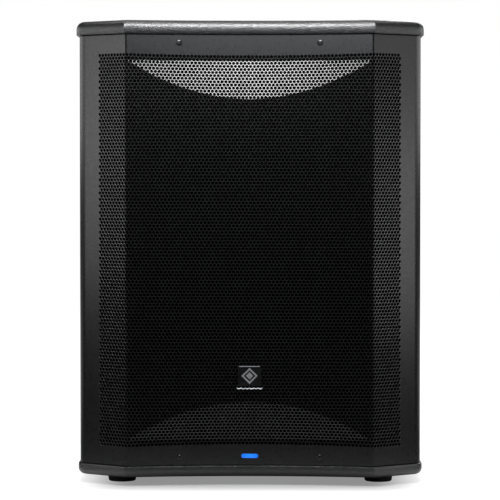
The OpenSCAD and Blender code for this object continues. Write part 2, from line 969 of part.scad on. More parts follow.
// Recessed handle on the right side: flange, cup and bar in one moulding
module side_handle() {
    cup_x = side_x - handle_depth;
    color(plastic)
        difference() {
            union() {
                translate([side_x, handle_y, handle_z])
                    rotate([90, 0, 90])
                        linear_extrude(handle_flange_t)
                            polygon(rounded_rect(handle_w, handle_h, 12));
                translate([cup_x, handle_y - cup_w / 2, handle_z - cup_h / 2])
                    cube([handle_depth + 1, cup_w, cup_h]);
            }
            difference() {
                translate([cup_x + cup_wall, handle_y - cup_w / 2 + cup_wall, handle_z - cup_h / 2 + cup_wall])
                    cube([handle_depth + 5, cup_w - 2 * cup_wall, cup_h - 2 * cup_wall]);
                translate([side_x - grip_r, handle_y, handle_z + 8])
                    rotate([90, 0, 0])
                        cylinder(h = cup_w, r = grip_r, center = true);
            }
            at_handle_screws()
                pilot(cup_wall + 1);
        }
}

module left_handle() {
    mirror([1, 0, 0])
        side_handle();
}

module right_handle() {
    side_handle();
}

// Round rubber feet, each with a pocket for its screw
module feet() {
    color("#1a1a1a")
        at_feet()
            difference() {
                cylinder(h = foot_h, r = foot_r);
                translate([0, 0, -1])
                    cylinder(h = foot_pocket_h + 1, r = foot_pocket_r);
                translate([0, 0, foot_pocket_h - 1])
                    cylinder(h = foot_h, r = foot_screw_r + running);
            }
}

module foot_screws() {
    head_h = 3;
    shank = foot_h + bottom_t - foot_pocket_h - 4;
    color(zinc)
        at_feet()
            translate([0, 0, foot_pocket_h]) {
                translate([0, 0, -head_h])
                    cylinder(h = head_h, r = foot_pocket_r - 1.5);
                translate([0, 0, -1])
                    cylinder(h = shank + 1, r = foot_screw_r);
            }
}

// Steel cup for a speaker pole, with a tapped hole in its floor
module pole_socket() {
    color("#2a2b2e")
        difference() {
            union() {
                translate([0, socket_y, socket_top - socket_flange_t])
                    cylinder(h = socket_flange_t, r = socket_flange_r);
                translate([0, socket_y, socket_low - socket_floor])
                    cylinder(h = socket_depth + socket_floor - 1, r = socket_bore_r + socket_wall);
            }
            translate([0, socket_y, socket_low])
                cylinder(h = socket_depth + 1, r = socket_bore_r);
            translate([0, socket_y, socket_low - socket_floor - 1])
                cylinder(h = socket_floor + 2, r = socket_thread_r);
            at_socket_screws()
                pilot(socket_flange_t + 1);
        }
}

// All identical pan-head screws of the handles, the amplifier panel and the pole socket
module board_screws() {
    color("#3a3b3e") {
        for (side = [0, 1])
            mirror([side, 0, 0])
                at_handle_screws()
                    pan_screw();
        at_amp_screws()
            pan_screw();
        at_socket_screws()
            pan_screw();
    }
}

// Opening of one signal socket, with room for its latch
module socket_opening(x, z, latch) {
    y_rod(x, z, xlr_r + 0.4, back_outer - 1, panel_face + 1);
    if (latch)
        y_box(x, z + latch_lo, latch_w + 1, 7.4, back_outer - 1, panel_face + 1);
}

// Folded steel panel that carries every control and connector
module amp_panel() {
    slots = 7;
    slot_w = 4;
    slot_pitch = 7.5;
    color("#202225")
        difference() {
            y_plate(0, amp_z, amp_w, amp_h, 6, back_outer, panel_face);
            for (x = socket_xs) {
                socket_opening(x, input_z, true);
                socket_opening(x, output_z, false);
            }
            for (x = [level_x, crossover_x])
                y_rod(x, knob_z, 4.6, back_outer - 1, panel_face + 1);
            for (x = [polarity_x, low_cut_x])
                y_rod(x, button_z, button_r + running, back_outer - 1, panel_face + 1);
            for (x = lamp_xs)
                y_rod(x, lamp_z, 1.6, back_outer - 1, panel_face + 1);
            for (i = [0:slots - 1]) {
                offset_x = (i - (slots - 1) / 2) * slot_pitch;
                slot_h = 2 * sqrt(fan_bore_r * fan_bore_r - offset_x * offset_x) - 4;
                y_box(fan_x + offset_x, fan_z, slot_w, slot_h, back_outer - 1, panel_face + 1);
            }
            y_box(rocker_x, mains_z, 19, 27, back_outer - 1, panel_face + 1);
            y_box(mains_x, mains_z, 31, 24, back_outer - 1, panel_face + 1);
            at_amp_screws()
                pilot(panel_t + 1);
        }
}

// Finned cooler on the upper part of the panel
module heatsink() {
    pitch = (sink_w - fin_t) / (fins - 1);
    fin_top = half_d - 3;
    color("#1c1d1f") {
        y_box(0, sink_z, sink_w, sink_h, panel_face, panel_face + sink_base);
        for (i = [0:fins - 1])
            y_box(-sink_w / 2 + fin_t / 2 + i * pitch, sink_z, fin_t, sink_h, panel_face + sink_base - 1, fin_top);
    }
}

// Sheet box behind the panel, with posts for the power board
module amp_box() {
    color("#9a9da1") {
        difference() {
            y_box(0, amp_z, box_w, box_h, box_floor, back_outer);
            y_box(0, amp_z, box_w - 2 * box_wall, box_h - 2 * box_wall, box_floor + box_wall, back_outer + 1);
        }
        for (x = [-95, 95], z = [-20, 140])
            y_rod(x, amp_z + z, 3, box_floor + 1, box_floor + 10);
    }
}

// Power board with its reservoir capacitors
module power_board() {
    y = box_floor + 10.1;
    color("darkgreen") {
        y_box(0, amp_z + 60, 210, 180, y, y + board_pcb_t);
        for (x = [-70, -30, 30, 70])
            y_rod(x, amp_z + 110, 12.5, y + 1, y + 46);
    }
}

// Ring-core transformer
module transformer() {
    y = box_floor + box_wall;
    color("#7d5a2a")
        difference() {
            y_rod(-55, amp_z - 100, 42, y, y + 45);
            y_rod(-55, amp_z - 100, 14, y - 1, y + 46);
        }
}

// Board behind the knobs and buttons, with the two switch bodies
module control_board() {
    y = control_board_y;
    color("darkgreen") {
        y_box((level_x + crossover_x) / 2, amp_z + 10, 95, 90, y, y + board_pcb_t);
        for (x = [polarity_x, low_cut_x])
            difference() {
                y_box(x, button_z, 12, 12, y + board_pcb_t - 0.5, y + 16);
                y_rod(x, button_z, 1.5 + running, y + board_pcb_t + 1, y + 17);
            }
    }
}

// Square fan housing with three spokes, a hub and a bearing tube
module fan_frame() {
    spoke_t = 2.5;
    y1 = fan_back + fan_depth;
    color("#1a1b1c")
        difference() {
            union() {
                difference() {
                    y_plate(fan_x, fan_z, fan_size, fan_size, 4, fan_back, y1);
                    y_rod(fan_x, fan_z, fan_bore_r, fan_back - 1, y1 + 1);
                }
                y_rod(fan_x, fan_z, 12, fan_back, fan_back + spoke_t);
                y_rod(fan_x, fan_z, 4, fan_back, fan_back + 11);
                for (a = [30, 150, 270])
                    translate([fan_x, fan_back, fan_z])
                        rotate([0, a, 0])
                            translate([8, 0, -2])
                                cube([fan_bore_r - 6, spoke_t, 4]);
            }
            y_rod(fan_x, fan_z, 1.5 + running, fan_back + 1, fan_back + 12);
        }
}

// Hub cup, shaft and pitched blades
module fan_rotor() {
    cup_y = fan_back + 4;
    cup_h = 10;
    blade_pitch = 35;
    color("#232426") {
        difference() {
            y_rod(fan_x, fan_z, hub_r, cup_y, cup_y + cup_h);
            y_rod(fan_x, fan_z, hub_r - 1.2, cup_y - 1, cup_y + cup_h - 1.5);
        }
        y_rod(fan_x, fan_z, 1.5, fan_back + 2, cup_y + cup_h - 1);
        for (i = [0:fan_blades - 1])
            translate([fan_x, cup_y + cup_h / 2, fan_z])
                rotate([0, i * 360 / fan_blades, 0])
                    translate([hub_r - 1, 0, 0])
                        rotate([blade_pitch, 0, 0])
                            translate([0, -0.75, -6.5])
                                cube([fan_bore_r - hub_r - 0.8, 1.5, 13]);
    }
}

// Fluted knob with a pointer rib
module knob(x) {
    base_y = panel_face + 5.5;
    tip_y = half_d - 2;
    color("#2c2d30")
        difference() {
            union() {
                y_rod(x, knob_z, knob_r, base_y, tip_y);
                y_box(x, knob_z + knob_r * 0.55, 1.6, knob_r * 0.9, tip_y - 1, tip_y + 0.8);
            }
            for (a = [15:30:345])
                translate([x, 0, knob_z])
                    rotate([0, a, 0])
                        y_rod(knob_r + 0.6, 0, 1.3, base_y - 1, tip_y - 1.5);
            y_rod(x, knob_z, shaft_r + 0.02, base_y - 1, tip_y - 2);
        }
}

module shaft(x) {
    color(zinc)
        y_rod(x, knob_z, shaft_r, control_board_y + 4, half_d - 4.2);
}

module level_knob() {
    knob(level_x);
}

module level_shaft() {
    shaft(level_x);
}

module crossover_knob() {
    knob(crossover_x);
}

module crossover_shaft() {
    shaft(crossover_x);
}

// Potentiometer bodies with the bushings that pass through the panel
module potentiometers() {
    y = control_board_y + board_pcb_t + 0.1;
    color("#8f9296")
        for (x = [level_x, crossover_x])
            difference() {
                union() {
                    y_box(x, knob_z, 16, 16, y, y + 9);
                    y_rod(x, knob_z, 4.5, y + 8, panel_face + 4.5);
                }
                y_rod(x, knob_z, shaft_r + running, y + 2, panel_face + 6);
            }
}

// Push button: round cap on a thin stem
module push_button(x) {
    cap_y = back_outer - button_travel - 1.5;
    color("#d0d0cc") {
        y_rod(x, button_z, button_r, cap_y, panel_face + 5);
        y_rod(x, button_z, 1.5, control_board_y + 7, cap_y + 1);
    }
}

module polarity_button() {
    push_button(polarity_x);
}

module low_cut_button() {
    push_button(low_cut_x);
}

// Rocker with two raised ends, at its off position
module power_rocker() {
    half_h = 11;
    color("#b01818")
        translate([rocker_x, pivot_y, mains_z])
            rotate([rocker_tilt, 0, 0]) {
                rotate([90, 0, 90])
                    translate([0, 0, -7.5])
                        linear_extrude(15)
                            polygon([[2, -half_h], [0.6, 0], [2, half_h], [-2, half_h], [-6, 0], [-2, -half_h]]);
                rotate([0, 90, 0])
                    cylinder(h = 17.4, r = 1.5, center = true);
            }
}

module rocker_housing() {
    color("#141516")
        difference() {
            union() {
                y_plate(rocker_x, mains_z, 22, 30, 1.5, panel_face, panel_face + 2);
                y_box(rocker_x, mains_z, 18.8, 26.8, panel_face - 20, panel_face + 1);
            }
            y_box(rocker_x, mains_z, 15.4, 24, panel_face - 9, panel_face + 3);
            translate([rocker_x, pivot_y, mains_z])
                rotate([0, 90, 0])
                    cylinder(h = 17.6, r = 1.5 + running, center = true);
        }
}

// Three-blade mains inlet with a shrouded recess
module mains_inlet() {
    color("#131314") {
        difference() {
            union() {
                y_plate(mains_x, mains_z, 50, 32, 3, panel_face, panel_face + 3);
                y_box(mains_x, mains_z, 30.6, 23.6, panel_face - 20, panel_face + 1);
            }
            y_plate(mains_x, mains_z, 25, 17, 3, panel_face - 15, panel_face + 4);
        }
        for (p = [[-7, -2], [0, 2], [7, -2]])
            y_box(mains_x + p.x, mains_z + p.y, 2, 5, panel_face - 16, panel_face - 4);
    }
}

module xlr_flange(x, z) {
    y_plate(x, z, xlr_w, xlr_h, 4, panel_face, panel_face + 2);
}

// Latching signal inputs: ring recess round a three-hole insert
module input_sockets() {
    color("#2e3034")
        for (x = socket_xs)
            difference() {
                union() {
                    xlr_flange(x, input_z);
                    y_rod(x, input_z, xlr_r, back_outer - 20, panel_face + 3);
                }
                difference() {
                    y_rod(x, input_z, xlr_r - 1.5, back_outer - 14, panel_face + 4);
                    y_rod(x, input_z, xlr_r - 2.6, back_outer - 15, panel_face + 5);
                }
                for (a = [30, 150, 270])
                    y_rod(x + 4.5 * cos(a), input_z + 4.5 * sin(a), 1.6, back_outer - 10, panel_face + 4);
                y_box(x, input_z + (latch_lo + latch_hi) / 2, latch_w + 0.3, latch_hi - latch_lo + 0.3,
                      panel_face - 1, panel_face + 3);
            }
}

// Signal outputs: open recess with three pins
module output_sockets() {
    color("#2e3034")
        for (x = socket_xs) {
            difference() {
                union() {
                    xlr_flange(x, output_z);
                    y_rod(x, output_z, xlr_r, back_outer - 20, panel_face + 3);
                }
                y_rod(x, output_z, xlr_r - 1.5, back_outer - 14, panel_face + 4);
            }
            for (a = [30, 150, 270])
                y_rod(x + 4.5 * cos(a), output_z + 4.5 * sin(a), 1.2, back_outer - 15, panel_face - 2);
        }
}

// Release tab at the top of an input socket
module latch(x) {
    color("silver")
        y_box(x, input_z + (latch_lo + latch_hi) / 2, latch_w, latch_hi - latch_lo,
              back_outer - 1, panel_face + 4.5);
}

module left_latch() {
    latch(socket_xs[0]);
}

module right_latch() {
    latch(socket_xs[1]);
}

// Signal, limit and power lamps
module signal_lamps() {
    color("lime")
        for (x = lamp_xs)
            y_rod(x, lamp_z, 1.5, control_board_y + board_pcb_t + 0.1, panel_face + 1.2);
}

top_plate();
bottom_plate();
left_side_board();
right_side_board();
front_baffle();
back_board();
window_brace();
left_port();
right_port();
acoustic_lining();
grille();
grille_foam();
grille_posts();
grille_screws();
badge();
status_lens();
status_board();
woofer_frame();
woofer_gasket();
surround();
cone();
dust_cap();
spider();
voice_coil();
magnet_front_plate();
magnet();
pole_piece();
woofer_terminals();
woofer_bolts();
tee_nuts();
speaker_cable();
left_handle();
right_handle();
feet();
foot_screws();
pole_socket();
board_screws();
amp_panel();
heatsink();
amp_box();
power_board();
transformer();
control_board();
fan_frame();
fan_rotor();
level_knob();
level_shaft();
crossover_knob();
crossover_shaft();
potentiometers();
polarity_button();
low_cut_button();
power_rocker();
rocker_housing();
mains_inlet();
input_sockets();
output_sockets();
left_latch();
right_latch();
signal_lamps();
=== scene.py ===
import math

import bmesh
import bpy
import numpy as np
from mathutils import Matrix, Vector
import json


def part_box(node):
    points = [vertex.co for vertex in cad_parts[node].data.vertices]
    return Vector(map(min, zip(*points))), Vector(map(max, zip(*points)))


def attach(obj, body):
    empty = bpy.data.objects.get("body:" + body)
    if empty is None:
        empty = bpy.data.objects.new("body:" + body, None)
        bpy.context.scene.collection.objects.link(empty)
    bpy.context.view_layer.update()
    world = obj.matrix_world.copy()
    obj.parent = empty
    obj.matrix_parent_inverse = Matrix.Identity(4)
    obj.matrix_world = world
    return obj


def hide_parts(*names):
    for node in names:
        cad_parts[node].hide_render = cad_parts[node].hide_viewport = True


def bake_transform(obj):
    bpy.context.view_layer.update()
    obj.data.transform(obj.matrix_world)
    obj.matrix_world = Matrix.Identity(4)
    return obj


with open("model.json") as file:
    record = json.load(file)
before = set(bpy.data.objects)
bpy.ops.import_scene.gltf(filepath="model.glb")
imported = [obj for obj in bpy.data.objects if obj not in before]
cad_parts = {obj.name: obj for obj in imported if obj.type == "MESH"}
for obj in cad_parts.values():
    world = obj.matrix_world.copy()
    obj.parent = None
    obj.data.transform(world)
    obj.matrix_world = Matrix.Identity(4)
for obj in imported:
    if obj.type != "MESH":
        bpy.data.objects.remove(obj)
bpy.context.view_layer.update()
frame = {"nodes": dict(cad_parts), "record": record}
MM = 0.001

# ---- sizes shared with the frame
GRILLE_LO, GRILLE_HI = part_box("grille")
PLATE_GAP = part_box("top_plate")[0].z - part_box("bottom_plate")[1].z
FOOT_LO, FOOT_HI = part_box("feet")

GRILLE_FRONT = GRILLE_LO.y
GRILLE_MID = (GRILLE_LO.z + GRILLE_HI.z) / 2
GRILLE_HALF = (GRILLE_HI.z - GRILLE_LO.z) / 2
SIDE_X = GRILLE_HI.x
CREASE_X = 176.4 * MM
WING_ANGLE = math.radians(35)
CORNER_TURN = math.pi / 2 - WING_ANGLE
BOW = 17.3 * MM
TILT = math.radians(17.5)
FIELD_DZ = PLATE_GAP / 2 - 37.5 * MM
SHEET = 1.5 * MM
ROLL_R = 22 * MM

# Perforation: rows of round holes, each row shifted by half a pitch
PITCH = 5.4 * MM
ROW_PITCH = PITCH * math.sqrt(3) / 2
CELL_PEAK = PITCH / math.sqrt(3) - ROW_PITCH / 2
HOLES_PER_ROW = 83
ROWS = 120
HOLE_R = 2.35 * MM
HOLE_LIP = 0.15 * MM
HOLE_SIDES = 12
GRILLE_BANDS = 5

# Fold between strips and wings: one narrow flat, half a pitch wide
FOLD = PITCH / 2
FOLD_X = 175.5 * MM
STRIP_X = FOLD_X - FOLD / 2
FOLD_ANGLE = math.atan2((SIDE_X - CREASE_X) * math.tan(WING_ANGLE), SIDE_X - FOLD_X)

# Wing: a flat, a roll into the side, and a short lap along the side
ROLL_TURN = math.pi / 2 - FOLD_ANGLE
WING_FLAT = (SIDE_X - FOLD_X) / math.cos(FOLD_ANGLE) - ROLL_R * math.tan(ROLL_TURN / 2)
SIDE_LAP = 2 * MM


# ---- mesh helpers
def full_turn(steps):
    """Angles evenly round a circle."""
    return np.arange(steps) * 2 * math.pi / steps


def unit(vectors):
    return vectors / np.linalg.norm(vectors, axis=-1, keepdims=True)


def arc(x, y, r, start, stop, count):
    """Points round part of a circle, both ends included."""
    return [(x + r * math.cos(a), y + r * math.sin(a)) for a in np.linspace(start, stop, count)]


def round_pairs(items):
    """Neighbours round a closed ring."""
    return zip(items, items[1:] + items[:1])


def ring_quads(lower, upper):
    """Quads between two closed rings of equally many points."""
    return [[a, b, d, c] for (a, b), (c, d) in zip(round_pairs(lower), round_pairs(upper))]


def mesh_object(name, verts, faces):
    mesh = bpy.data.meshes.new(name)
    mesh.from_pydata([tuple(v) for v in verts], [], [tuple(f) for f in faces])
    obj = bpy.data.objects.new(name, mesh)
    bpy.context.scene.collection.objects.link(obj)
    return obj


def settled(obj, sharp=35):
    """Turns a closed piece's faces outwards and smooths them across edges below the sharp angle."""
    bm = bmesh.new()
    bm.from_mesh(obj.data)
    bmesh.ops.recalc_face_normals(bm, faces=bm.faces)
    for face in bm.faces:
        face.smooth = True
    for edge in bm.edges:
        edge.smooth = len(edge.link_faces) == 2 and edge.calc_face_angle(0) < math.radians(sharp)
    bm.to_mesh(obj.data)
    bm.free()
    return obj


def finished(name, verts, faces, sharp=35):
    return settled(mesh_object(name, verts, faces), sharp)


def own(obj, body, slot_name, *nodes, material=None):
    """Registers a piece: the body it rides on, its material slot and the CAD nodes it stands for.
    A piece between two bodies is given None here and is hung on no body."""
    obj.data.materials.append(material or FINISH[slot_name])
    if nodes:
        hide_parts(*nodes)
    if body:
        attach(obj, body)


# ---- materials
class Nodes:
    """A shader node tree under construction."""

    def __init__(self, owner):
        owner.use_nodes = True
        self.tree = owner.node_tree

    def feed(self, node, inputs):
        """Gives each named or numbered input a value or another node's output."""
        for key, value in inputs.items():
            if isinstance(value, bpy.types.NodeSocket):
                self.tree.links.new(value, node.inputs[key])
            else:
                node.inputs[key].default_value = value

    def add(self, kind, inputs=None, **settings):
        node = self.tree.nodes.new("ShaderNode" + kind)
        for key, value in settings.items():
            setattr(node, key, value)
        self.feed(node, inputs or {})
        return node


class Shader(Nodes):
    """One procedural material under construction."""

    def __init__(self, name):
        self.material = bpy.data.materials.new(name)
        super().__init__(self.material)
        self.bsdf = self.tree.nodes["Principled BSDF"]
        self.place = self.add("TexCoord").outputs["Object"]
        self.normal = None

    def noise(self, scale, detail=3.0, roughness=0.5, stretch=(1, 1, 1)):
        mapping = self.add("Mapping", {"Vector": self.place, "Scale": stretch})
        inputs = {"Vector": mapping.outputs["Vector"], "Scale": scale, "Detail": detail}
        return self.add("TexNoise", {**inputs, "Roughness": roughness}).outputs["Fac"]

    def cells(self, scale):
        return self.add("TexVoronoi", {"Vector": self.place, "Scale": scale}).outputs["Distance"]

    def stripes(self, direction, inputs, profile="SIN"):
        wave = self.add("TexWave", {"Vector": self.place, **inputs}, bands_direction=direction,
                        wave_profile=profile)
        return wave.outputs["Fac"]

    def between(self, fac, low, high, start=0.35, stop=0.65):
        """fac spread from low to high; low and high are both colours or both numbers."""
        node = self.add("ValToRGB", {"Fac": fac})
        for element, position, value in zip(node.color_ramp.elements, (start, stop), (low, high)):
            element.position = position
            element.color = (*(value if isinstance(value, tuple) else (value,) * 3), 1)
        return node.outputs["Color"]

    def coat(self, colour, roughness, specular=0.5, metallic=0.0):
        self.feed(self.bsdf, {"Base Color": colour, "Roughness": roughness, "Specular IOR Level": specular,
                              "Metallic": metallic})

    def bump(self, height, strength, distance):
        """Relief on top of any added before."""
        node = self.add("Bump", {"Height": height, "Strength": strength, "Distance": distance})
        if self.normal is not None:
            self.feed(node, {"Normal": self.normal})
        self.normal = node.outputs["Normal"]
        self.feed(self.bsdf, {"Normal": self.normal})


def cabinet_paint():
    """Black speckled cabinet paint with a coarse orange-peel texture."""
    s = Shader("cabinet_paint")
    speckle = s.cells(520)
    s.coat(s.between(speckle, (0.010, 0.0103, 0.011), (0.005, 0.005, 0.0052), 0.2, 0.7),
           s.between(s.noise(260), 0.21, 0.27), specular=0.78)
    s.bump(s.noise(700, 2.0), 1.0, 0.5 * MM)
    s.bump(speckle, 0.8, 0.3 * MM)
    return s.material


def powder_coat():
    """Smooth satin black coat of the grille."""
    s = Shader("powder_coat")
    s.coat(s.between(s.noise(40), (0.0022, 0.0022, 0.0023), (0.0031, 0.0031, 0.0033)),
           s.between(s.noise(160), 0.27, 0.30))
    s.bump(s.noise(1400, 2.0), 0.12, 0.1 * MM)
    return s.material


def painted_hole_shade():
    """Painted shade on the walls of the perforation: a darker, matt copy of the grille's coat that keeps the
    holes black.
    """
    s = Shader("painted_hole_shade")
    s.coat(s.between(s.noise(300), 0.0012, 0.0024), 0.75, specular=0.05)
    return s.material


def black_cloth():
    s = Shader("black_cloth")
    s.coat(s.between(s.noise(500), 0.0012, 0.003), 0.95, specular=0.02)
    s.bump(s.cells(900), 0.7, 0.4 * MM)
    return s.material


def mottled(name, low, high, rough, scale, bump, bump_scale=900, metallic=0.0, depth=0.15,
            stretch=(1, 1, 1)):
    """General finish: colour and roughness drift slowly, with a fine bump on top, its depth in mm."""
    s = Shader(name)
    s.coat(s.between(s.noise(scale, 4.0, stretch=stretch), low, high),
           s.between(s.noise(scale * 3, stretch=stretch), *rough), metallic=metallic)
    s.bump(s.noise(bump_scale, 2.0, stretch=stretch), bump, depth * MM)
    return s.material


def plywood():
    """Birch ply: plies across the thickness, which runs front to back, and grain along x."""
    s = Shader("plywood")
    plies = s.stripes("Y", {"Scale": 105, "Distortion": 0.6}, "SAW")
    grain = s.between(s.noise(90, 5.0, 0.6, (0.12, 1, 1)), (0.44, 0.30, 0.16), (0.62, 0.46, 0.28))
    dark = s.between(plies, (0.55, 0.5, 0.45), (1.0, 1.0, 1.0), 0.35, 0.55)
    mix = s.add("Mix", data_type="RGBA", blend_type="MULTIPLY")
    s.feed(mix, {"Factor": 1.0, "A": grain, "B": dark})
    s.coat(mix.outputs["Result"], s.between(s.noise(200), 0.55, 0.7))
    s.bump(s.noise(300, 3.0, stretch=(0.1, 1, 1)), 0.4, 0.3 * MM)
    return s.material


def wave_scale(pitch):
    """Scale of a wave texture whose stripes are a pitch apart."""
    return 0.314 / pitch


def woven(name, low, high, pitch, rough):
    """Two crossing sets of threads, by place across and up the piece, with painted shade where threads dip.
    """
    s = Shader(name)
    across, up = (s.stripes(direction, {"Scale": wave_scale(pitch)}) for direction in ("X", "Z"))
    both = s.add("Math", {0: across, 1: up}, operation="MULTIPLY").outputs["Value"]
    # Painted shade: the colour follows the threads' relief and darkens between the crossings.
    s.coat(s.between(both, low, high, 0.05, 0.6), s.between(s.noise(300), *rough))
    s.bump(both, 0.6, 0.2 * MM)
    return s.material


def windings(name, low, high, pitch):
    """Varnished wire laid side by side along the y axis, with painted shade in the grooves between wires."""
    s = Shader(name)
    wire_relief_and_shade = s.stripes("Y", {"Scale": wave_scale(pitch)})
    # Painted shade: the colour follows the wires' relief and darkens in the grooves.
    s.coat(s.between(wire_relief_and_shade, low, high, 0.1, 0.7), s.between(s.noise(300), 0.22, 0.35), metallic=0.85)
    s.bump(wire_relief_and_shade, 0.8, 0.15 * MM)
    return s.material


def circuit_board():
    """Green mask over a blocky pattern of tracks."""
    s = Shader("circuit_board")
    turned = s.add("Mapping", {"Vector": s.place, "Rotation": (math.pi / 2, 0, 0)})
    tracks = s.add("TexBrick", {
        "Vector": turned.outputs["Vector"], "Scale": 90, "Mortar Size": 0.06, "Mortar": (0.03, 0.20, 0.09, 1),
        "Color1": (0.008, 0.085, 0.035, 1), "Color2": (0.010, 0.11, 0.045, 1),
    })
    s.coat(tracks.outputs["Color"], s.between(s.noise(80), 0.25, 0.38))
    s.bump(tracks.outputs["Fac"], 0.3, 0.05 * MM)
    return s.material


def lamp(name, dark, bright, strength, centre):
    """Lit translucent plastic, a little brighter in the middle of its length along x."""
    s = Shader(name)
    half_length = 12 * MM
    split = s.add("SeparateXYZ", {"Vector": s.place})
    along = s.add("MapRange", {"Value": split.outputs["X"], "From Min": centre - half_length,
                                         "From Max": centre + half_length})
    hump = s.add("Math", {0: along.outputs["Result"], 1: 0.5}, operation="PINGPONG")
    colour = s.between(hump.outputs["Value"], dark, bright, 0.0, 0.35)
    s.coat(colour, s.between(s.noise(400), 0.25, 0.35))
    s.feed(s.bsdf, {"Emission Color": colour, "Emission Strength": strength})
    return s.material


def finishes():
    """One finish per material slot of the record."""
    along_x = (0.1, 1, 1)
    return {
        "painted_board": cabinet_paint(),
        "bare_ply": plywood(),
        "grille_steel": powder_coat(),
        "black_metal": mottled(
            "black_enamel", (0.004, 0.004, 0.0045), (0.008, 0.008, 0.0085), (0.15, 0.22), 70, 0.15),
        "black_plastic": mottled(
            "black_plastic", (0.012, 0.012, 0.013), (0.018, 0.018, 0.019), (0.42, 0.55), 90, 0.35, 1500),
        "lamp_blue": lamp("lamp_blue", (0.003, 0.10, 0.62), (0.008, 0.17, 0.78), 0.7, 0.0),
        "lamp_green": lamp("lamp_green", (0.02, 0.30, 0.05), (0.06, 0.75, 0.14), 0.8, 45 * MM),
        "badge_metal": mottled(
            "brushed_metal", (0.56, 0.57, 0.58), (0.72, 0.73, 0.74), (0.40, 0.48), 260, 0.25,
            1200, 1.0, 0.1, (0.08, 1, 1)),
        "black_rubber": mottled("black_rubber", 0.010, 0.019, (0.62, 0.78), 110, 0.4, 1300),
        "foam": mottled("open_foam", 0.006, (0.022, 0.022, 0.023), (0.9, 1.0), 700, 0.9, depth=0.8),
        "cone_paper": mottled(
            "pressed_paper", (0.010, 0.010, 0.0105), (0.026, 0.026, 0.027), (0.7, 0.85), 400, 0.8,
            700, depth=0.4),
        "woven_cloth": woven("woven_cloth", (0.22, 0.13, 0.045), (0.50, 0.34, 0.15), 0.9 * MM, (0.6, 0.75)),
        "ferrite": mottled(
            "ferrite", (0.018, 0.018, 0.020), (0.035, 0.035, 0.038), (0.5, 0.65), 120, 0.4, 700),
        "zinc_steel": mottled(
            "zinc_steel", (0.42, 0.42, 0.40), (0.60, 0.60, 0.57), (0.26, 0.40), 150, 0.15, 800, 1.0),
        "copper": windings("copper_wire", (0.30, 0.10, 0.03), (0.72, 0.32, 0.13), 0.6 * MM),
        "circuit_board": circuit_board(),
        "heatsink_alloy": mottled(
            "black_anodised", (0.014, 0.014, 0.016), (0.024, 0.024, 0.026), (0.3, 0.42), 200, 0.2,
            900, 0.6, 0.1, along_x),
        "sheet_alloy": mottled(
            "sheet_alloy", (0.50, 0.51, 0.52), (0.64, 0.65, 0.66), (0.3, 0.42), 180, 0.12,
            900, 1.0, 0.1, along_x),
        "control_plastic": mottled(
            "control_plastic", (0.020, 0.020, 0.022), (0.030, 0.030, 0.033), (0.38, 0.5), 130, 0.3, 1600),
        "light_plastic": mottled(
            "light_plastic", (0.52, 0.52, 0.49), (0.62, 0.62, 0.59), (0.35, 0.48), 130, 0.15, 1500),
        "rocker_red": mottled(
            "rocker_red", (0.36, 0.010, 0.010), (0.50, 0.020, 0.016), (0.18, 0.28), 90, 0.1, 1200),
    }


# ---- the folded, perforated grille
def bow_radius(half_chord):
    """Radius of an arc that sinks by BOW over half its chord."""
    return (half_chord**2 + BOW**2) / (2 * BOW)


def bow(x):
    """How far the border strips sink behind the folds, at x."""
    r = bow_radius(STRIP_X)
    inside = np.minimum(np.abs(x), STRIP_X)
    return BOW - r + np.sqrt(r * r - inside * inside)


def wing_path(d):
    """Place and inward normal at developed distance d past the fold, as x, y, nx, ny."""
    angle = FOLD_ANGLE + np.clip((d - WING_FLAT) / ROLL_R, 0, ROLL_TURN)
    on_flat = np.minimum(d, WING_FLAT)
    x = FOLD_X + on_flat * math.cos(FOLD_ANGLE) + ROLL_R * (np.sin(angle) - math.sin(FOLD_ANGLE))
    y = on_flat * math.sin(FOLD_ANGLE) + ROLL_R * (math.cos(FOLD_ANGLE) - np.cos(angle))
    y = y + np.maximum(d - WING_FLAT - ROLL_R * ROLL_TURN, 0)
    return x, y, -np.sin(angle), np.cos(angle)


def sheet_points(u, v, depth, t_end=None):
    """Points of the folded sheet at developed (u, v), depth behind its front face.
    v is measured from the grille's middle; t_end, where given, blends v to the sheet's edge."""
    side = np.sign(u)
    past_strip = np.abs(u) - STRIP_X
    wx, wy, nx, ny = wing_path(np.maximum(np.abs(u) - FOLD_X, FOLD / 2))
    across = np.clip(past_strip / FOLD, 0, 1)
    on_wing = past_strip > 0
    x = np.where(on_wing, side * (STRIP_X + (wx - STRIP_X) * across), u)
    y = wy * across
    nx, ny = nx * across, 1 + (ny - 1) * across
    sink = np.where(on_wing, 0.0, bow(u))
    fold = FIELD_DZ - sink / math.tan(TILT)
    slant = (FIELD_DZ - fold) / math.cos(TILT)
    s = np.abs(v)
    past = np.clip(s - fold, 0, slant)
    z = np.minimum(s, fold) + past * math.cos(TILT) + np.maximum(s - fold - slant, 0)
    recess = past * math.sin(TILT)
    if t_end is not None:
        z = z + (GRILLE_HALF - z) * t_end
    x = x + np.where(on_wing, side * nx * depth, 0.0)
    y = y + recess + np.where(on_wing, ny * depth, depth)
    return np.stack([x, GRILLE_FRONT + y, GRILLE_MID + np.sign(v) * z], axis=-1)


def column_lines():
    """Developed u of the sheet's vertical grid lines, and the index of the first perforated one."""
    half = (HOLES_PER_ROW + 0.5) * PITCH / 2
    perforated = np.arange(2 * HOLES_PER_ROW + 2) * PITCH / 2 - half
    roll_start = FOLD_X + WING_FLAT
    roll_end = roll_start + ROLL_R * ROLL_TURN
    plain = np.concatenate([
        np.linspace(half, roll_start, 5)[1:],
        np.linspace(roll_start, roll_end, 13)[1:],
        [roll_end + SIDE_LAP],
    ])
    return np.concatenate([-plain[::-1], perforated, plain]), len(plain)


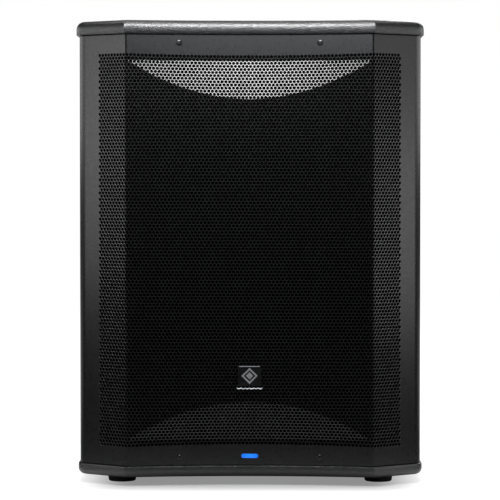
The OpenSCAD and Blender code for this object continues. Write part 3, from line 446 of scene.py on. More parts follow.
def rim_walls(nr, nc, back):
    """Quads joining the edge of an nr by nc grid of points to its twin, numbered higher by back."""
    rim = list(range(nc)) + [r * nc + nc - 1 for r in range(1, nr)]
    rim += [(nr - 1) * nc + k for k in range(nc - 2, -1, -1)] + [r * nc for r in range(nr - 2, 0, -1)]
    return [[b, a, a + back, b + back] for a, b in round_pairs(rim)]


def grid_quads(nc, rows, columns):
    """Quads of the cells at these rows and columns of a grid that is nc points wide."""
    a = rows * nc + columns
    return np.stack([a, a + 1, a + nc + 1, a + nc], 1)


def slab_faces(nr, nc):
    """Faces of a closed slab: an nr by nc grid of points, then its twin behind."""
    n = nr * nc
    front = grid_quads(nc, *np.nonzero(np.ones((nr - 1, nc - 1), bool)))
    return front.tolist() + (front + n)[:, ::-1].tolist() + rim_walls(nr, nc, n)


def perforated_faces(plain_cells, corner):
    """Faces of a perforated sheet, and how many at their end are the straight walls of its holes.
    Its points are a grid, the grid's twin behind, and three rings for each hole, from front to back.
    A hole's cell is two grid cells wide, and corner is the number of the first grid point of each."""
    nr, nc = plain_cells.shape[0] + 1, plain_cells.shape[1] + 1
    grid_n, ring_n = nr * nc, len(corner) * HOLE_SIDES
    outline = np.stack([corner + step for step in (2, nc + 2, nc + 1, nc, 0, 1)], 1)
    holes = 2 * grid_n + np.arange(len(corner)) * HOLE_SIDES
    faces = []
    for e in range(6):
        between = [holes + (2 * e + q - 1) % HOLE_SIDES for q in (2, 1, 0)]
        front = np.stack([outline[:, e], outline[:, (e + 1) % 6], *between], 1)
        back = front + np.where(front >= 2 * grid_n, 2 * ring_n, grid_n)
        faces += front.tolist() + back[:, ::-1].tolist()
    front = grid_quads(nc, *np.nonzero(plain_cells))
    faces += front.tolist() + (front + grid_n)[:, ::-1].tolist() + rim_walls(nr, nc, grid_n)
    lips, walls = [], []
    for quads, ring in ((lips, holes), (walls, holes + ring_n)):
        for q in range(HOLE_SIDES):
            a, b = ring + q, ring + (q + 1) % HOLE_SIDES
            quads += np.stack([a, b, b + ring_n, a + ring_n], 1).tolist()
    return faces + lips + walls, len(walls)


def grille_band(index):
    """One horizontal band of the grille, as a closed perforated sheet.
    Each hole has a six-sided cell of the sheet: the grid's points between rows zigzag for that."""
    columns, first = column_lines()
    lines = (np.arange(ROWS + 1) - ROWS / 2) * ROW_PITCH
    start = index * ROWS // GRILLE_BANDS
    stop = (index + 1) * ROWS // GRILLE_BANDS
    border = [0.25, 0.5, 0.75, 0.95, 1.0]  # steps across the plain border, 1 at the sheet's edge
    low_border = border[::-1] if index == 0 else []
    high_border = border if index == GRILLE_BANDS - 1 else []
    below = len(low_border)
    v = np.pad(lines[start:stop + 1], (below, len(high_border)), "edge")[:, None]
    t = np.array(low_border + [0.0] * (stop + 1 - start) + high_border)[:, None]
    u = columns[None, :]
    shape = np.zeros((len(v), len(columns)))
    zigzag = shape.copy()
    middles = first + 1 + 2 * np.arange(HOLES_PER_ROW)
    for j in range(start, stop + 1):
        zigzag[below + j - start, middles + j % 2] = CELL_PEAK
        zigzag[below + j - start, middles + (j + 1) % 2] = -CELL_PEAK
    grids = [sheet_points(u + shape, v + zigzag, d, t + shape).reshape(-1, 3) for d in (0.0, SHEET)]

    # Row and column of each hole's cell, and the rings of the hole
    row, column = np.meshgrid(np.arange(stop - start), middles - 1, indexing="ij")
    column = (column + (start + row + 1) % 2).ravel()
    row = row.ravel()
    plain_cells = np.ones((len(v) - 1, len(columns) - 1), bool)
    plain_cells[below + row, column] = plain_cells[below + row, column + 1] = False
    hole_u = columns[column + 1][:, None]
    hole_v = (lines[start + row] + ROW_PITCH / 2)[:, None]
    angles = full_turn(HOLE_SIDES)[None, :]
    rings = []
    for radius, d in ((HOLE_R + HOLE_LIP, 0.0), (HOLE_R, HOLE_LIP), (HOLE_R, SHEET)):
        ring = sheet_points(hole_u + radius * np.cos(angles), hole_v + radius * np.sin(angles), d)
        rings.append(ring.reshape(-1, 3))

    faces, wall_count = perforated_faces(plain_cells, (below + row) * len(columns) + column)
    obj = mesh_object(f"grille_band_{index + 1}", np.concatenate(grids + rings), faces)
    own(obj, "cabinet", "grille_steel", "grille")
    # The walls of the holes take the painted shade, a darker matt copy of the coat.
    obj.data.materials.append(HOLE_WALL_SHADE)
    painted_shade_index = np.zeros(len(faces), np.int32)
    painted_shade_index[-wall_count:] = 1
    obj.data.polygons.foreach_set("material_index", painted_shade_index)


def grille_cloth():
    """Thin cloth that follows the back of the folded sheet."""
    gap, thick, margin = 0.6 * MM, 1.2 * MM, 1.6 * MM
    half_height, wing_reach = 284 * MM, 56 * MM
    strip = np.linspace(-STRIP_X + margin, STRIP_X - margin, 61)
    wing = np.linspace(FOLD_X + FOLD / 2 + margin, FOLD_X + wing_reach, 10)
    u = np.concatenate([-wing[::-1], strip, wing])[None, :]
    v = np.linspace(-half_height, half_height, 81)[:, None]
    shape = np.zeros((v.size, u.size))
    sides = [sheet_points(u + shape, v + shape, SHEET + d).reshape(-1, 3) for d in (gap, gap + thick)]
    obj = mesh_object("grille_cloth", np.concatenate(sides), slab_faces(*shape.shape))
    obj.data.shade_smooth()
    own(obj, "cabinet", "foam", "grille_foam", material=black_cloth())


# ---- plates
PLATE_LIP = 1.6 * MM  # how far the plates stand out past the sheet at the crease


def plate_plan(half_w, front, back):
    """Outline of a plate, anticlockwise from the left crease: bow, chamfer, corners, back."""
    crease, corner_r, back_r = CREASE_X + PLATE_LIP, 22 * MM, 14 * MM
    r = bow_radius(crease)
    points = [(x, front + BOW - r + math.sqrt(r * r - x * x)) for x in np.linspace(-crease, crease, 97)]
    corner_y = front + (half_w - crease) * math.tan(WING_ANGLE)
    turn_y = corner_y + corner_r * math.tan(CORNER_TURN / 2)
    right = arc(half_w - corner_r, turn_y, corner_r, -CORNER_TURN, 0, 14)
    right += [(half_w, y) for y in np.linspace(turn_y, back - back_r, 10)[1:-1]]
    right += arc(half_w - back_r, back - back_r, back_r, 0, math.pi / 2, 14)
    return np.array(points + right + [(-x, y) for x, y in reversed(right)])


def inset_plan(points, d):
    """The outline moved inwards by d."""
    along = unit(np.roll(points, -1, axis=0) - points)
    after = np.stack([-along[:, 1], along[:, 0]], 1)
    before = np.roll(after, 1, axis=0)
    return points + d * (before + after) / (1 + (before * after).sum(1))[:, None]


def ringed_slab(name, plan, rings, hole):
    """Slab through (inset, z) rings; hole is the (x, y, radius) of a round hole right through it, or None."""
    bm = bmesh.new()
    layers = [[bm.verts.new((x, y, z)) for x, y in inset_plan(plan, inset)] for inset, z in rings]
    for lower, upper in zip(layers, layers[1:]):
        for quad in ring_quads(lower, upper):
            bm.faces.new(quad)
    hole_rings = []
    for layer in (layers[0], layers[-1]):
        edges = [bm.edges.get(pair) for pair in round_pairs(layer)]
        if hole:
            z = layer[0].co.z
            ring = [bm.verts.new((x, y, z)) for x, y in arc(*hole, 0, 2 * math.pi, 97)[:-1]]
            edges += [bm.edges.new(pair) for pair in round_pairs(ring)]
            hole_rings.append(ring)
        bmesh.ops.triangle_fill(bm, edges=edges, use_beauty=True)
    if hole:
        for quad in ring_quads(*hole_rings):
            bm.faces.new(quad)
    obj = mesh_object(name, [], [])
    bm.to_mesh(obj.data)
    bm.free()
    return settled(obj, 32)


def plate(node, edge, up, hole=None):
    """A plate with one outer edge rounded: the upper one where up is 1, the lower one where it is -1."""
    lo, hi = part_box(node)
    flat, outer = (lo.z, hi.z) if up > 0 else (hi.z, lo.z)
    small = 1.2 * MM
    rings = [(small, flat), (small * 0.3, flat + up * small * 0.3), (0, flat + up * small)]
    for a in np.linspace(0, math.pi / 2, 9):
        rings.append((edge * (1 - math.cos(a)), outer - up * edge * (1 - math.sin(a))))
    obj = ringed_slab(node + "_shell", plate_plan(hi.x, lo.y, hi.y), rings, hole)
    own(obj, "cabinet", "painted_board", node)


def plates():
    """Top and bottom plates; the pole socket passes through the top one, with a small gap round it."""
    lo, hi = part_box("pole_socket")
    gap = 0.5 * MM
    plate("top_plate", 11 * MM, 1, ((lo.x + hi.x) / 2, (lo.y + hi.y) / 2, (hi.x - lo.x) / 2 + gap))
    plate("bottom_plate", 9 * MM, -1)


# ---- general shapes
def revolved(profile, steps, closed_profile=False, radius_at=None):
    """Points and faces of a profile of (radius, height) turned round the z axis.
    An open profile starts and ends on the axis; radius_at(radius, height, angle) may flute it."""
    angles = full_turn(steps)
    verts, faces = [], []
    rows = profile if closed_profile else profile[1:-1]
    for r, h in rows:
        rr = radius_at(r, h, angles) if radius_at else np.full(steps, r)
        verts += np.stack([rr * np.cos(angles), rr * np.sin(angles), np.full(steps, h)], 1).tolist()
    rings = [list(range(k * steps, (k + 1) * steps)) for k in range(len(rows))]
    for lower, upper in zip(rings, rings[1:] + rings[:1] if closed_profile else rings[1:]):
        faces += ring_quads(lower, upper)
    if not closed_profile:
        faces += [[len(verts), b, a] for a, b in round_pairs(rings[0])]
        faces += [[len(verts) + 1, a, b] for a, b in round_pairs(rings[-1])]
        verts += [[0, 0, profile[0][1]], [0, 0, profile[-1][1]]]
    return np.array(verts), faces


def laid_along_y(verts):
    """Points turned so that their z axis runs along +y."""
    return verts[:, [0, 2, 1]] * np.array([1, 1, -1])


def turned(name, profile, centre, steps=64, closed_profile=False, radius_at=None, sharp=35):
    """A turned piece whose height runs along +y."""
    verts, faces = revolved(profile, steps, closed_profile, radius_at)
    return finished(name, laid_along_y(verts) + np.array(centre), faces, sharp)


def merged(parts):
    """Points and faces of several shapes as one."""
    verts, faces, base = [], [], 0
    for v, f in parts:
        verts.append(np.asarray(v))
        faces += [[base + i for i in face] for face in f]
        base += len(v)
    return np.concatenate(verts), faces


def prism(outline, y0, y1):
    """An outline of (x, z) pushed from y0 to y1."""
    n = len(outline)
    verts = [(x, y0, z) for x, z in outline] + [(x, y1, z) for x, z in outline]
    faces = [list(range(n)), [2 * n - 1 - i for i in range(n)]]
    faces += [[i + n, (i + 1) % n + n, (i + 1) % n, i] for i in range(n)]
    return np.array(verts), faces


def rounded_rect(half_w, half_h, r, steps=6):
    """Outline of a rectangle with round corners, about the origin."""
    points = []
    for cx, cy, turns in ((1, -1, -1), (1, 1, 0), (-1, 1, 1), (-1, -1, 2)):
        start = turns * math.pi / 2
        points += arc(cx * (half_w - r), cy * (half_h - r), r, start, start + math.pi / 2, steps + 1)
    return points


def lofted(rings, capped=True):
    """Skin through rings of equally many points."""
    n = len(rings[0])
    numbers = [list(range(k * n, (k + 1) * n)) for k in range(len(rings))]
    faces = []
    for lower, upper in zip(numbers, numbers[1:]):
        faces += ring_quads(lower, upper)
    if capped:
        faces += [numbers[0][::-1], numbers[-1]]
    return np.concatenate([np.array(r) for r in rings]), faces


def tube(points, radius, sides=12):
    """Round rod through points that never run straight up."""
    points = np.array(points, float)
    rings = []
    for p, t in zip(points, unit(np.gradient(points, axis=0))):
        a = unit(np.cross(t, (0, 0, 1)))
        b = np.cross(t, a)
        rings.append([p + radius * (math.cos(q) * a + math.sin(q) * b) for q in full_turn(sides)])
    return lofted(rings)


def modify(obj, kind, **settings):
    modifier = obj.modifiers.new(kind.lower(), kind)
    for key, value in settings.items():
        setattr(modifier, key, value)


def soften_cad(node, width):
    """Small bevels and smooth curved faces on a CAD node, all as modifiers."""
    mesh, limit = node.data, math.radians(38)
    if "custom_normal" in mesh.attributes:
        mesh.attributes.remove(mesh.attributes["custom_normal"])
    mesh.shade_smooth()
    modify(node, "WELD", merge_threshold=0.01 * MM)
    modify(node, "DECIMATE", decimate_type="DISSOLVE", angle_limit=math.radians(0.5))
    if width:
        modify(node, "BEVEL", width=width, segments=2, limit_method="ANGLE", angle_limit=limit,
               use_clamp_overlap=True)
    modify(node, "EDGE_SPLIT", split_angle=limit)
    modify(node, "WEIGHTED_NORMAL", keep_sharp=True)


# ---- front details
BADGE_LO, BADGE_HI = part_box("badge")
BADGE_X = (BADGE_LO.x + BADGE_HI.x) / 2
BADGE_Z = (BADGE_LO.z + BADGE_HI.z) / 2
BADGE_W = (BADGE_HI.x - BADGE_LO.x) / 2
BADGE_H = (BADGE_HI.z - BADGE_LO.z) / 2
BADGE_FRONT = GRILLE_FRONT - 1.9 * MM


def upright(outline, cx, cz, y):
    """An outline of (x, z) about the origin, moved to (cx, cz) at depth y."""
    return [(cx + x, y, cz + z) for x, z in outline]


def badge_plate():
    rings = []
    for y, inset in ((GRILLE_FRONT - 0.1 * MM, 0), (BADGE_FRONT + 0.5 * MM, 0),
                     (BADGE_FRONT + 0.15 * MM, 0.25 * MM), (BADGE_FRONT, 0.9 * MM)):
        outline = rounded_rect(BADGE_W - inset, BADGE_H - inset, 2.6 * MM - inset)
        rings.append(upright(outline, BADGE_X, BADGE_Z, y))
    own(finished("badge_plate", *lofted(rings), sharp=25), "cabinet", "black_metal", "badge")


def diamond(r, y):
    return upright([(r, 0), (0, r), (-r, 0), (0, -r)], BADGE_X, BADGE_Z, y)


def raised_diamond(r, top):
    slope = 0.35 * MM
    return [diamond(r, BADGE_FRONT), diamond(r, top + slope), diamond(r - slope, top)]


def badge_emblem():
    """A raised diamond inside a raised diamond outline."""
    outer, inner, middle, top = BADGE_H * 0.80, BADGE_H * 0.56, BADGE_H * 0.36, BADGE_FRONT - 0.7 * MM
    hollow = [diamond(inner, top), diamond(inner, BADGE_FRONT), diamond(outer, BADGE_FRONT)]
    outline = lofted(raised_diamond(outer, top) + hollow, capped=False)
    emblem = merged([outline, lofted(raised_diamond(middle, top))])
    own(finished("badge_emblem", *emblem, sharp=20), "cabinet", "badge_metal", "badge")


def leaned_back(shape, bottom, front, slope):
    """The shape with its front face tipped back by the slope, to catch light from above."""
    verts, faces = shape
    face = verts[:, 1] < front + 1e-6
    verts[face, 1] += slope * (verts[face, 2] - bottom)
    return verts, faces


def badge_bar_and_edge_glint():
    """A bright bar along the top of the badge and a scalloped strip below it.
    The strip's bright metal is a painted highlight, standing in for the light caught by the grille's cut
    edge.
    """
    y, low, high = BADGE_FRONT - 0.45 * MM, BADGE_HI.z - 1.5 * MM, BADGE_HI.z - 0.5 * MM
    short, long = BADGE_W - 2.2 * MM, BADGE_W - 1.4 * MM
    bar = [(BADGE_X + x, z) for x, z in ((-short, low), (short, low), (long, high), (-long, high))]
    bar = leaned_back(prism(bar, y, BADGE_FRONT + 0.5 * MM), low, y, 0.12)

    # Painted highlight: a bright metal strip where the grille's black cut edge under the badge catches light.
    half, low, y = BADGE_W + 1.8 * MM, BADGE_LO.z - 4.6 * MM, GRILLE_FRONT - 1.2 * MM
    waves, depth, height = 6, 1.1 * MM, 1.3 * MM
    scallops = [(BADGE_X - half + 2 * half * t, low + depth - depth * abs(math.sin(math.pi * waves * t)))
                for t in np.linspace(0, 1, 6 * waves + 1)]
    strip = prism(scallops + [(x, z + height) for x, z in reversed(scallops)], y, GRILLE_FRONT + 0.3 * MM)
    strip = leaned_back(strip, low, y, 0.26)
    own(finished("badge_bar_and_edge_glint", *merged([bar, strip]), sharp=20), "cabinet", "badge_metal", "badge")


def status_light():
    """Slim lens with round ends and a soft front edge."""
    lo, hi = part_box("status_lens")
    mid = (lo + hi) / 2
    w, h = hi.x - mid.x, hi.z - mid.z
    rings = []
    for y, inset in ((hi.y, 0), (lo.y + 0.5 * MM, 0), (lo.y + 0.15 * MM, 0.25 * MM), (lo.y, 0.7 * MM)):
        outline = rounded_rect(w - inset, h - inset, h - inset - 0.02 * MM, 8)
        rings.append(upright(outline, mid.x, mid.z, y))
    own(finished("status_light", *lofted(rings)), "cabinet", "lamp_blue", "status_lens")


def button_head_screws():
    """Domed heads with a round recess on the four grille screws, and their shanks."""
    lo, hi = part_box("grille_screws")
    x_mid, head, height, socket = 100 * MM, 4.25 * MM, 2.3 * MM, 1.75 * MM
    shank, length, under = 2.4 * MM, 16 * MM, -0.15 * MM
    lean = math.asin(x_mid / bow_radius(STRIP_X))
    profile = [(0, 0.9 * MM), (1.5 * MM, 0.9 * MM), (1.7 * MM, -height + 0.5 * MM), (socket, -height)]
    profile += [(socket + (head - socket) * math.sin(a), -height + (height - 0.75 * MM) * (1 - math.cos(a)))
                for a in np.linspace(0.25, math.pi / 2, 8)]
    profile += [(head, under), (shank, under), (shank, length), (0, length)]
    parts = []
    for side in (-1, 1):
        for z in (lo.z + head, hi.z - head):
            verts, faces = revolved(profile, 48)
            verts = laid_along_y(verts)
            a = -side * lean
            turn = np.array([[math.cos(a), -math.sin(a), 0], [math.sin(a), math.cos(a), 0], [0, 0, 1]])
            place = [side * x_mid, GRILLE_FRONT + float(bow(np.array(x_mid))), z]
            parts.append((verts @ turn.T + np.array(place), faces))
    own(finished("grille_screw_heads", *merged(parts), sharp=30), "cabinet", "black_metal", "grille_screws")


def rubber_feet():
    """Four round feet with a rounded tread and a recess for the screw head."""
    h, foot, tread, soft = FOOT_HI.z, 21 * MM, 17.4 * MM, 2.4 * MM
    recess = [(0, 6 * MM), (6.9 * MM, 6 * MM), (7.4 * MM, 1.2 * MM), (8.2 * MM, 0.2 * MM), (9 * MM, 0)]
    profile = recess + [(tread, 0)]
    profile += arc(tread, soft, soft, 0.3 - math.pi / 2, 0, 5)
    profile += [(foot - 0.9 * MM, 5 * MM), (foot, 8 * MM), (foot, h - 0.6 * MM), (foot - 0.6 * MM, h), (0, h)]
    parts = []
    for x in (FOOT_LO.x + foot, FOOT_HI.x - foot):
        for y in (FOOT_LO.y + foot, FOOT_HI.y - foot):
            verts, faces = revolved(profile, 72)
            parts.append((verts + np.array([x, y, 0]), faces))
    own(finished("rubber_feet", *merged(parts)), "cabinet", "black_rubber", "feet")


# ---- woofer
WOOFER_Z = (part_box("woofer_frame")[0].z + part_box("woofer_frame")[1].z) / 2
BAFFLE_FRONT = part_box("front_baffle")[0].y
WOOFER = (0, BAFFLE_FRONT, WOOFER_Z)


def thick_path(path, thick):
    """Closed profile of a sheet of even thickness whose front follows the path."""
    path = np.array(path)
    along = unit(np.gradient(path, axis=0))
    back = path + np.stack([-along[:, 1], along[:, 0]], 1) * thick
    return path.tolist() + back[::-1].tolist()


def bends_with_cone(obj):
    """Bakes the piece's placement into its points and reads the points back; it does not move them."""
    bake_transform(obj)
    co = np.zeros(len(obj.data.vertices) * 3)
    obj.data.vertices.foreach_get("co", co)
    co = co.reshape(-1, 3)


# The woofer's soft parts turn a path of (radius, depth behind the baffle's front)
def surround():
    """Half-roll surround with fine radial pleats."""
    seat, mid, roll, thick = -8 * MM, 196.5 * MM, 8 * MM, 1.2 * MM
    front, step = seat - thick, 0.4 * MM
    path = [(183.2 * MM, front), (186 * MM, front), (187.6 * MM, front - step)]
    path += [(mid - (roll - step) * math.cos(a), seat - 0.9 * MM - (roll - thick) * math.sin(a))
             for a in np.linspace(0.18, math.pi - 0.18, 17)]
    path += [(205.4 * MM, front - step), (207 * MM, front), (212.4 * MM, front)]
    count, depth, reach = 120, 0.35 * MM, 7 * MM

    def pleats(r, _, angles):
        return r + depth * max(0.0, 1 - abs(r - mid) / reach) * np.cos(count * angles)

    obj = turned("surround_roll", thick_path(path, thick * 0.92), WOOFER, 480, True, pleats, 60)
    own(obj, None, "cone_paper", "surround")
    bends_with_cone(obj)


def spider():
    """Corrugated spider with a flat rim."""
    waves, inner, flat, depth = 4, 50.7 * MM, 84 * MM, 94.6 * MM
    path = [(inner + (flat - inner) * t, depth + 2.4 * MM * math.sin(2 * math.pi * waves * t))
            for t in np.linspace(0, 1, 8 * waves + 1)]
    path += [(86 * MM, depth), (89.9 * MM, depth)]
    obj = turned("spider_cloth", thick_path(path, 0.9 * MM), WOOFER, 96, True, sharp=80)
    own(obj, None, "woven_cloth", "spider")
    bends_with_cone(obj)


def cone():
    """Ribbed cone."""
    rim, neck, ribs, rib_height = (182 * MM, -7.8 * MM), (50.8 * MM, 71 * MM), 7, 0.7 * MM
    path = [(188.8 * MM, -7.9 * MM), (184 * MM, -7.9 * MM)]
    for t in np.linspace(0.02, 1, 60):
        rib = rib_height * max(0.0, math.cos(2 * math.pi * t * ribs)) ** 6 if 0.1 < t < 0.7 else 0.0
        path.append((rim[0] + (neck[0] - rim[0]) * t, rim[1] + (neck[1] - rim[1]) * t - rib))
    obj = turned("cone_paper", thick_path(path, -1.5 * MM), WOOFER, 144, True, sharp=50)
    own(obj, "cone_assembly", "cone_paper", "cone")


def dust_cap():
    """Domed cap: two arcs about one centre, so the wall is even."""
    cap, rise, edge, thick = 60 * MM, 18 * MM, 65.2 * MM, 1 * MM
    dome = (cap * cap + rise * rise) / (2 * rise)
    centre = edge - rise + dome
    reach = math.asin(cap / dome)
    outside = [(r, centre + z) for z, r in arc(0, 0, dome, math.pi - 0.001, math.pi - reach, 24)]
    inside = [(r, centre + z) for z, r in arc(0, 0, dome - thick, math.pi - reach, math.pi - 0.001, 24)]
    profile = [(0, outside[0][1])] + outside + inside + [(0, inside[-1][1])]
    own(turned("dust_cap_dome", profile, WOOFER, 96, sharp=50), "cone_assembly", "cone_paper", "dust_cap")


def leads():
    """The two woofer leads, each with a shallow sag."""
    lo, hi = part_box("speaker_cable")
    r, wander, sag = (hi.z - lo.z) / 2, 1.5 * MM, 7 * MM
    parts = []
    for side in (-1, 1):
        x = side * (hi.x - r)
        t = np.linspace(0, 1, 40)
        swell = np.sin(math.pi * t)
        points = np.stack([x + side * wander * np.sin(6 * math.pi * t) * swell, lo.y + (hi.y - lo.y) * t,
                           (lo.z + hi.z) / 2 - sag * swell], 1)
        parts.append(tube(points, r, 16))
    own(finished("woofer_leads", *merged(parts)), "cabinet", "black_rubber", "speaker_cable")


def foam_pad(name, origin, across, along, out, lengths, thick):
    """Pad with a dimpled face: origin is a corner, the other three are unit directions."""
    across, along, out = (np.array(v, float) for v in (across, along, out))
    pitch, soft = 17 * MM, 5 * MM
    na, nb = (int(round(length / pitch)) * 6 for length in lengths)
    a = np.linspace(0, lengths[0], na + 1)[:, None]
    b = np.linspace(0, lengths[1], nb + 1)[None, :]
    wave = np.sin(math.pi * a / pitch) * np.sin(math.pi * b / pitch)
    edge = np.minimum(np.minimum(a, lengths[0] - a), np.minimum(b, lengths[1] - b))
    round_off = np.clip(edge / soft, 0, 1) ** 0.5
    height = thick * (0.35 + 0.32 * round_off + 0.33 * wave * round_off)
    base = np.array(origin) + a[..., None] * across + b[..., None] * along
    face = base + height[..., None] * out
    verts = np.concatenate([face.reshape(-1, 3), base.reshape(-1, 3)])
    own(finished(name, verts, slab_faces(na + 1, nb + 1), 70), "cabinet", "foam", "acoustic_lining")


def lining():
    """Pads on both side boards and on the floor of the enclosure."""
    lo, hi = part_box("acoustic_lining")
    thick, inset, low = 18 * MM, 30 * MM, lo.z + 40 * MM
    length, height, width = hi.y - lo.y, hi.z - low, hi.x - lo.x - 2 * inset
    for name, x, out in (("lining_left", lo.x, 1), ("lining_right", hi.x, -1)):
        foam_pad(name, (x, lo.y, low), (0, 1, 0), (0, 0, 1), (out, 0, 0), (length, height), thick)
    floor = (lo.x + inset, lo.y, lo.z)
    foam_pad("lining_floor", floor, (1, 0, 0), (0, 1, 0), (0, 0, 1), (width, length), thick)


# ---- handles
def handle(side):
    """Moulded cup with a flange, a soft lip and a round bar; side is 1 on the right, -1 on the left."""
    node = "right_handle" if side > 0 else "left_handle"
    lo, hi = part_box(node)
    face = max(abs(lo.x), abs(hi.x))
    board = face - 2 * MM  # the side board's outer face
    floor = board - 60 * MM
    wall = 3
    cy, cz = (lo.y + hi.y) / 2, (lo.z + hi.z) / 2
    flange = ((hi.y - lo.y) / 2, (hi.z - lo.z) / 2)
    cup = (flange[0] - 15 * MM, flange[1] - 12 * MM)

    def ring(x, size, inset, r):
        """The cup's or the flange's outline at x; inset and corner radius are in mm."""
        outline = rounded_rect(size[0] - inset * MM, size[1] - inset * MM, r * MM)
        return [(side * x, cy + a, cz + b) for a, b in outline]

    outer = [(floor, cup, 4, 5), (floor + 4 * MM, cup, 0, 6), (board, cup, 0, 6)]
    front = [(board, flange, 0.2, 12), (board + 1.2 * MM, flange, 0, 12), (face, flange, 1.2, 11)]
    lip = [(face, cup, 0.5, 9), (face - 0.8 * MM, cup, 2.2, 8), (face - 3 * MM, cup, wall, 7)]
    inner = [(floor + (wall + rise) * MM, cup, wall + inset, 8) for rise, inset in ((8, 1), (2.5, 3), (0, 8))]
    rings = [ring(*place) for place in outer + front + lip + inner]
    shell = lofted(rings)
    grip, bar_x, bar_z = 12 * MM, board - 12 * MM, cz + 8 * MM
    half, flare, groove_depth = cup[0] - 1.5 * MM, 2.0 * MM, 0.35 * MM
    bars = []
    for t in np.linspace(-1, 1, 61):
        end = max(0.0, (abs(t) - 0.86) / 0.14)
        groove = groove_depth if abs(t) < 0.7 and int((t + 1) * 30) % 2 else 0.0
        r = grip + flare * end * end - groove
        bars.append([(side * (bar_x + r * math.cos(a)), cy + half * t, bar_z + r * math.sin(a))
                     for a in full_turn(36)])
    bar = lofted(bars)
    own(finished(node + "_shell", *merged([shell, bar]), sharp=40), "cabinet", "black_plastic", node)


# ---- rear panel
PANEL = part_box("amp_panel")[1].y


def control_knob(node, body, pointer_name):
    """Knob with a skirt, twenty-four flutes and a raised pointer."""
    lo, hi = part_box(node)
    cx, cz = (lo.x + hi.x) / 2, (lo.z + hi.z) / 2
    r, tip, base = (hi.x - lo.x) / 2, hi.y - 0.8 * MM, lo.y
    profile = [(0, 0), (r, 0), (r, 1.4 * MM), (r - 0.9 * MM, 2.0 * MM), (r - 1.1 * MM, 7.6 * MM),
               (r - 1.7 * MM, 8.7 * MM), (r - 2.6 * MM, tip - base), (r - 4.5 * MM, tip - base - 0.4 * MM),
               (0, tip - base - 0.4 * MM)]

    def flutes(radius, h, angles):
        cut = 0.55 * MM if 1.9 * MM < h < 8.8 * MM and radius > r - 2 * MM else 0.0
        return radius - cut * (0.5 + 0.5 * np.cos(24 * angles)) ** 3

    knob = turned(node + "_body", profile, (cx, base, cz), 192, radius_at=flutes, sharp=40)
    own(knob, body, "control_plastic", node)
    low, high = cz + 1.2 * MM, cz + r - 1.9 * MM
    mark = [(cx + x * MM, z) for x, z in ((-0.8, low), (0.8, low), (0.8, high), (-0.8, high))]
    own(finished(pointer_name, *prism(mark, tip - 0.6 * MM, hi.y)), body, "light_plastic", node)


def panel_marks():
    """Printed lines on the panel: dial ticks round the knobs and frames round the groups."""
    y0, y1 = PANEL - 0.1 * MM, PANEL + 0.12 * MM
    parts = []

    def stroke(x0, z0, x1, z1, w=0.7 * MM):
        nx, nz = unit(np.array([z0 - z1, x1 - x0])) * w / 2
        outline = [(x0 - nx, z0 - nz), (x1 - nx, z1 - nz), (x1 + nx, z1 + nz), (x0 + nx, z0 + nz)]
        parts.append(prism(outline, y0, y1))

    def frame_line(x0, z0, x1, z1):
        w = 0.35 * MM
        stroke(x0 - w, z0, x1 + w, z0)
        stroke(x1, z0 + w, x1, z1 - w)
        stroke(x1 + w, z1, x0 - w, z1)
        stroke(x0, z1 - w, x0, z0 + w)

    for node in ("level_knob", "crossover_knob"):
        lo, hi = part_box(node)
        mid = (lo + hi) / 2
        start = hi.x - mid.x + 2.2 * MM
        for k in range(11):
            a = math.radians(-150 + 30 * k)
            end = start + (3.4 * MM if k % 5 == 0 else 2.2 * MM)
            s, c = math.sin(a), math.cos(a)
            stroke(mid.x + start * s, mid.z + start * c, mid.x + end * s, mid.z + end * c, 0.8 * MM)

    lo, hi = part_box("input_sockets")
    low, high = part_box("output_sockets")[0].z - 6 * MM, hi.z + 7 * MM
    frame_line(lo.x - 5 * MM, low, hi.x + 5 * MM, high)
    left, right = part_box("level_knob")[0].x - 13 * MM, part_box("crossover_knob")[1].x + 13 * MM
    frame_line(left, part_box("signal_lamps")[0].z - 8 * MM, right, high)
    left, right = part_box("mains_inlet")[0].x - 6 * MM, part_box("rocker_housing")[1].x + 7 * MM
    lo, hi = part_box("fan_frame")
    frame_line(left, lo.z - 6 * MM, right, hi.z + 2 * MM)
    own(finished("panel_marks", *merged(parts)), "cabinet", "light_plastic")


# ---- studio
def area_light(name, place, target, size, energy, colour=(1, 1, 1), spread=180):
    data = bpy.data.lights.new(name, "AREA")
    data.spread = math.radians(spread)
    data.shape = "RECTANGLE"
    data.size, data.size_y = size
    data.energy = energy
    data.color = colour
    obj = bpy.data.objects.new(name, data)
    obj.location = place
    obj.rotation_mode = "QUATERNION"
    obj.rotation_quaternion = (Vector(target) - Vector(place)).to_track_quat("-Z", "Y")
    bpy.context.scene.collection.objects.link(obj)


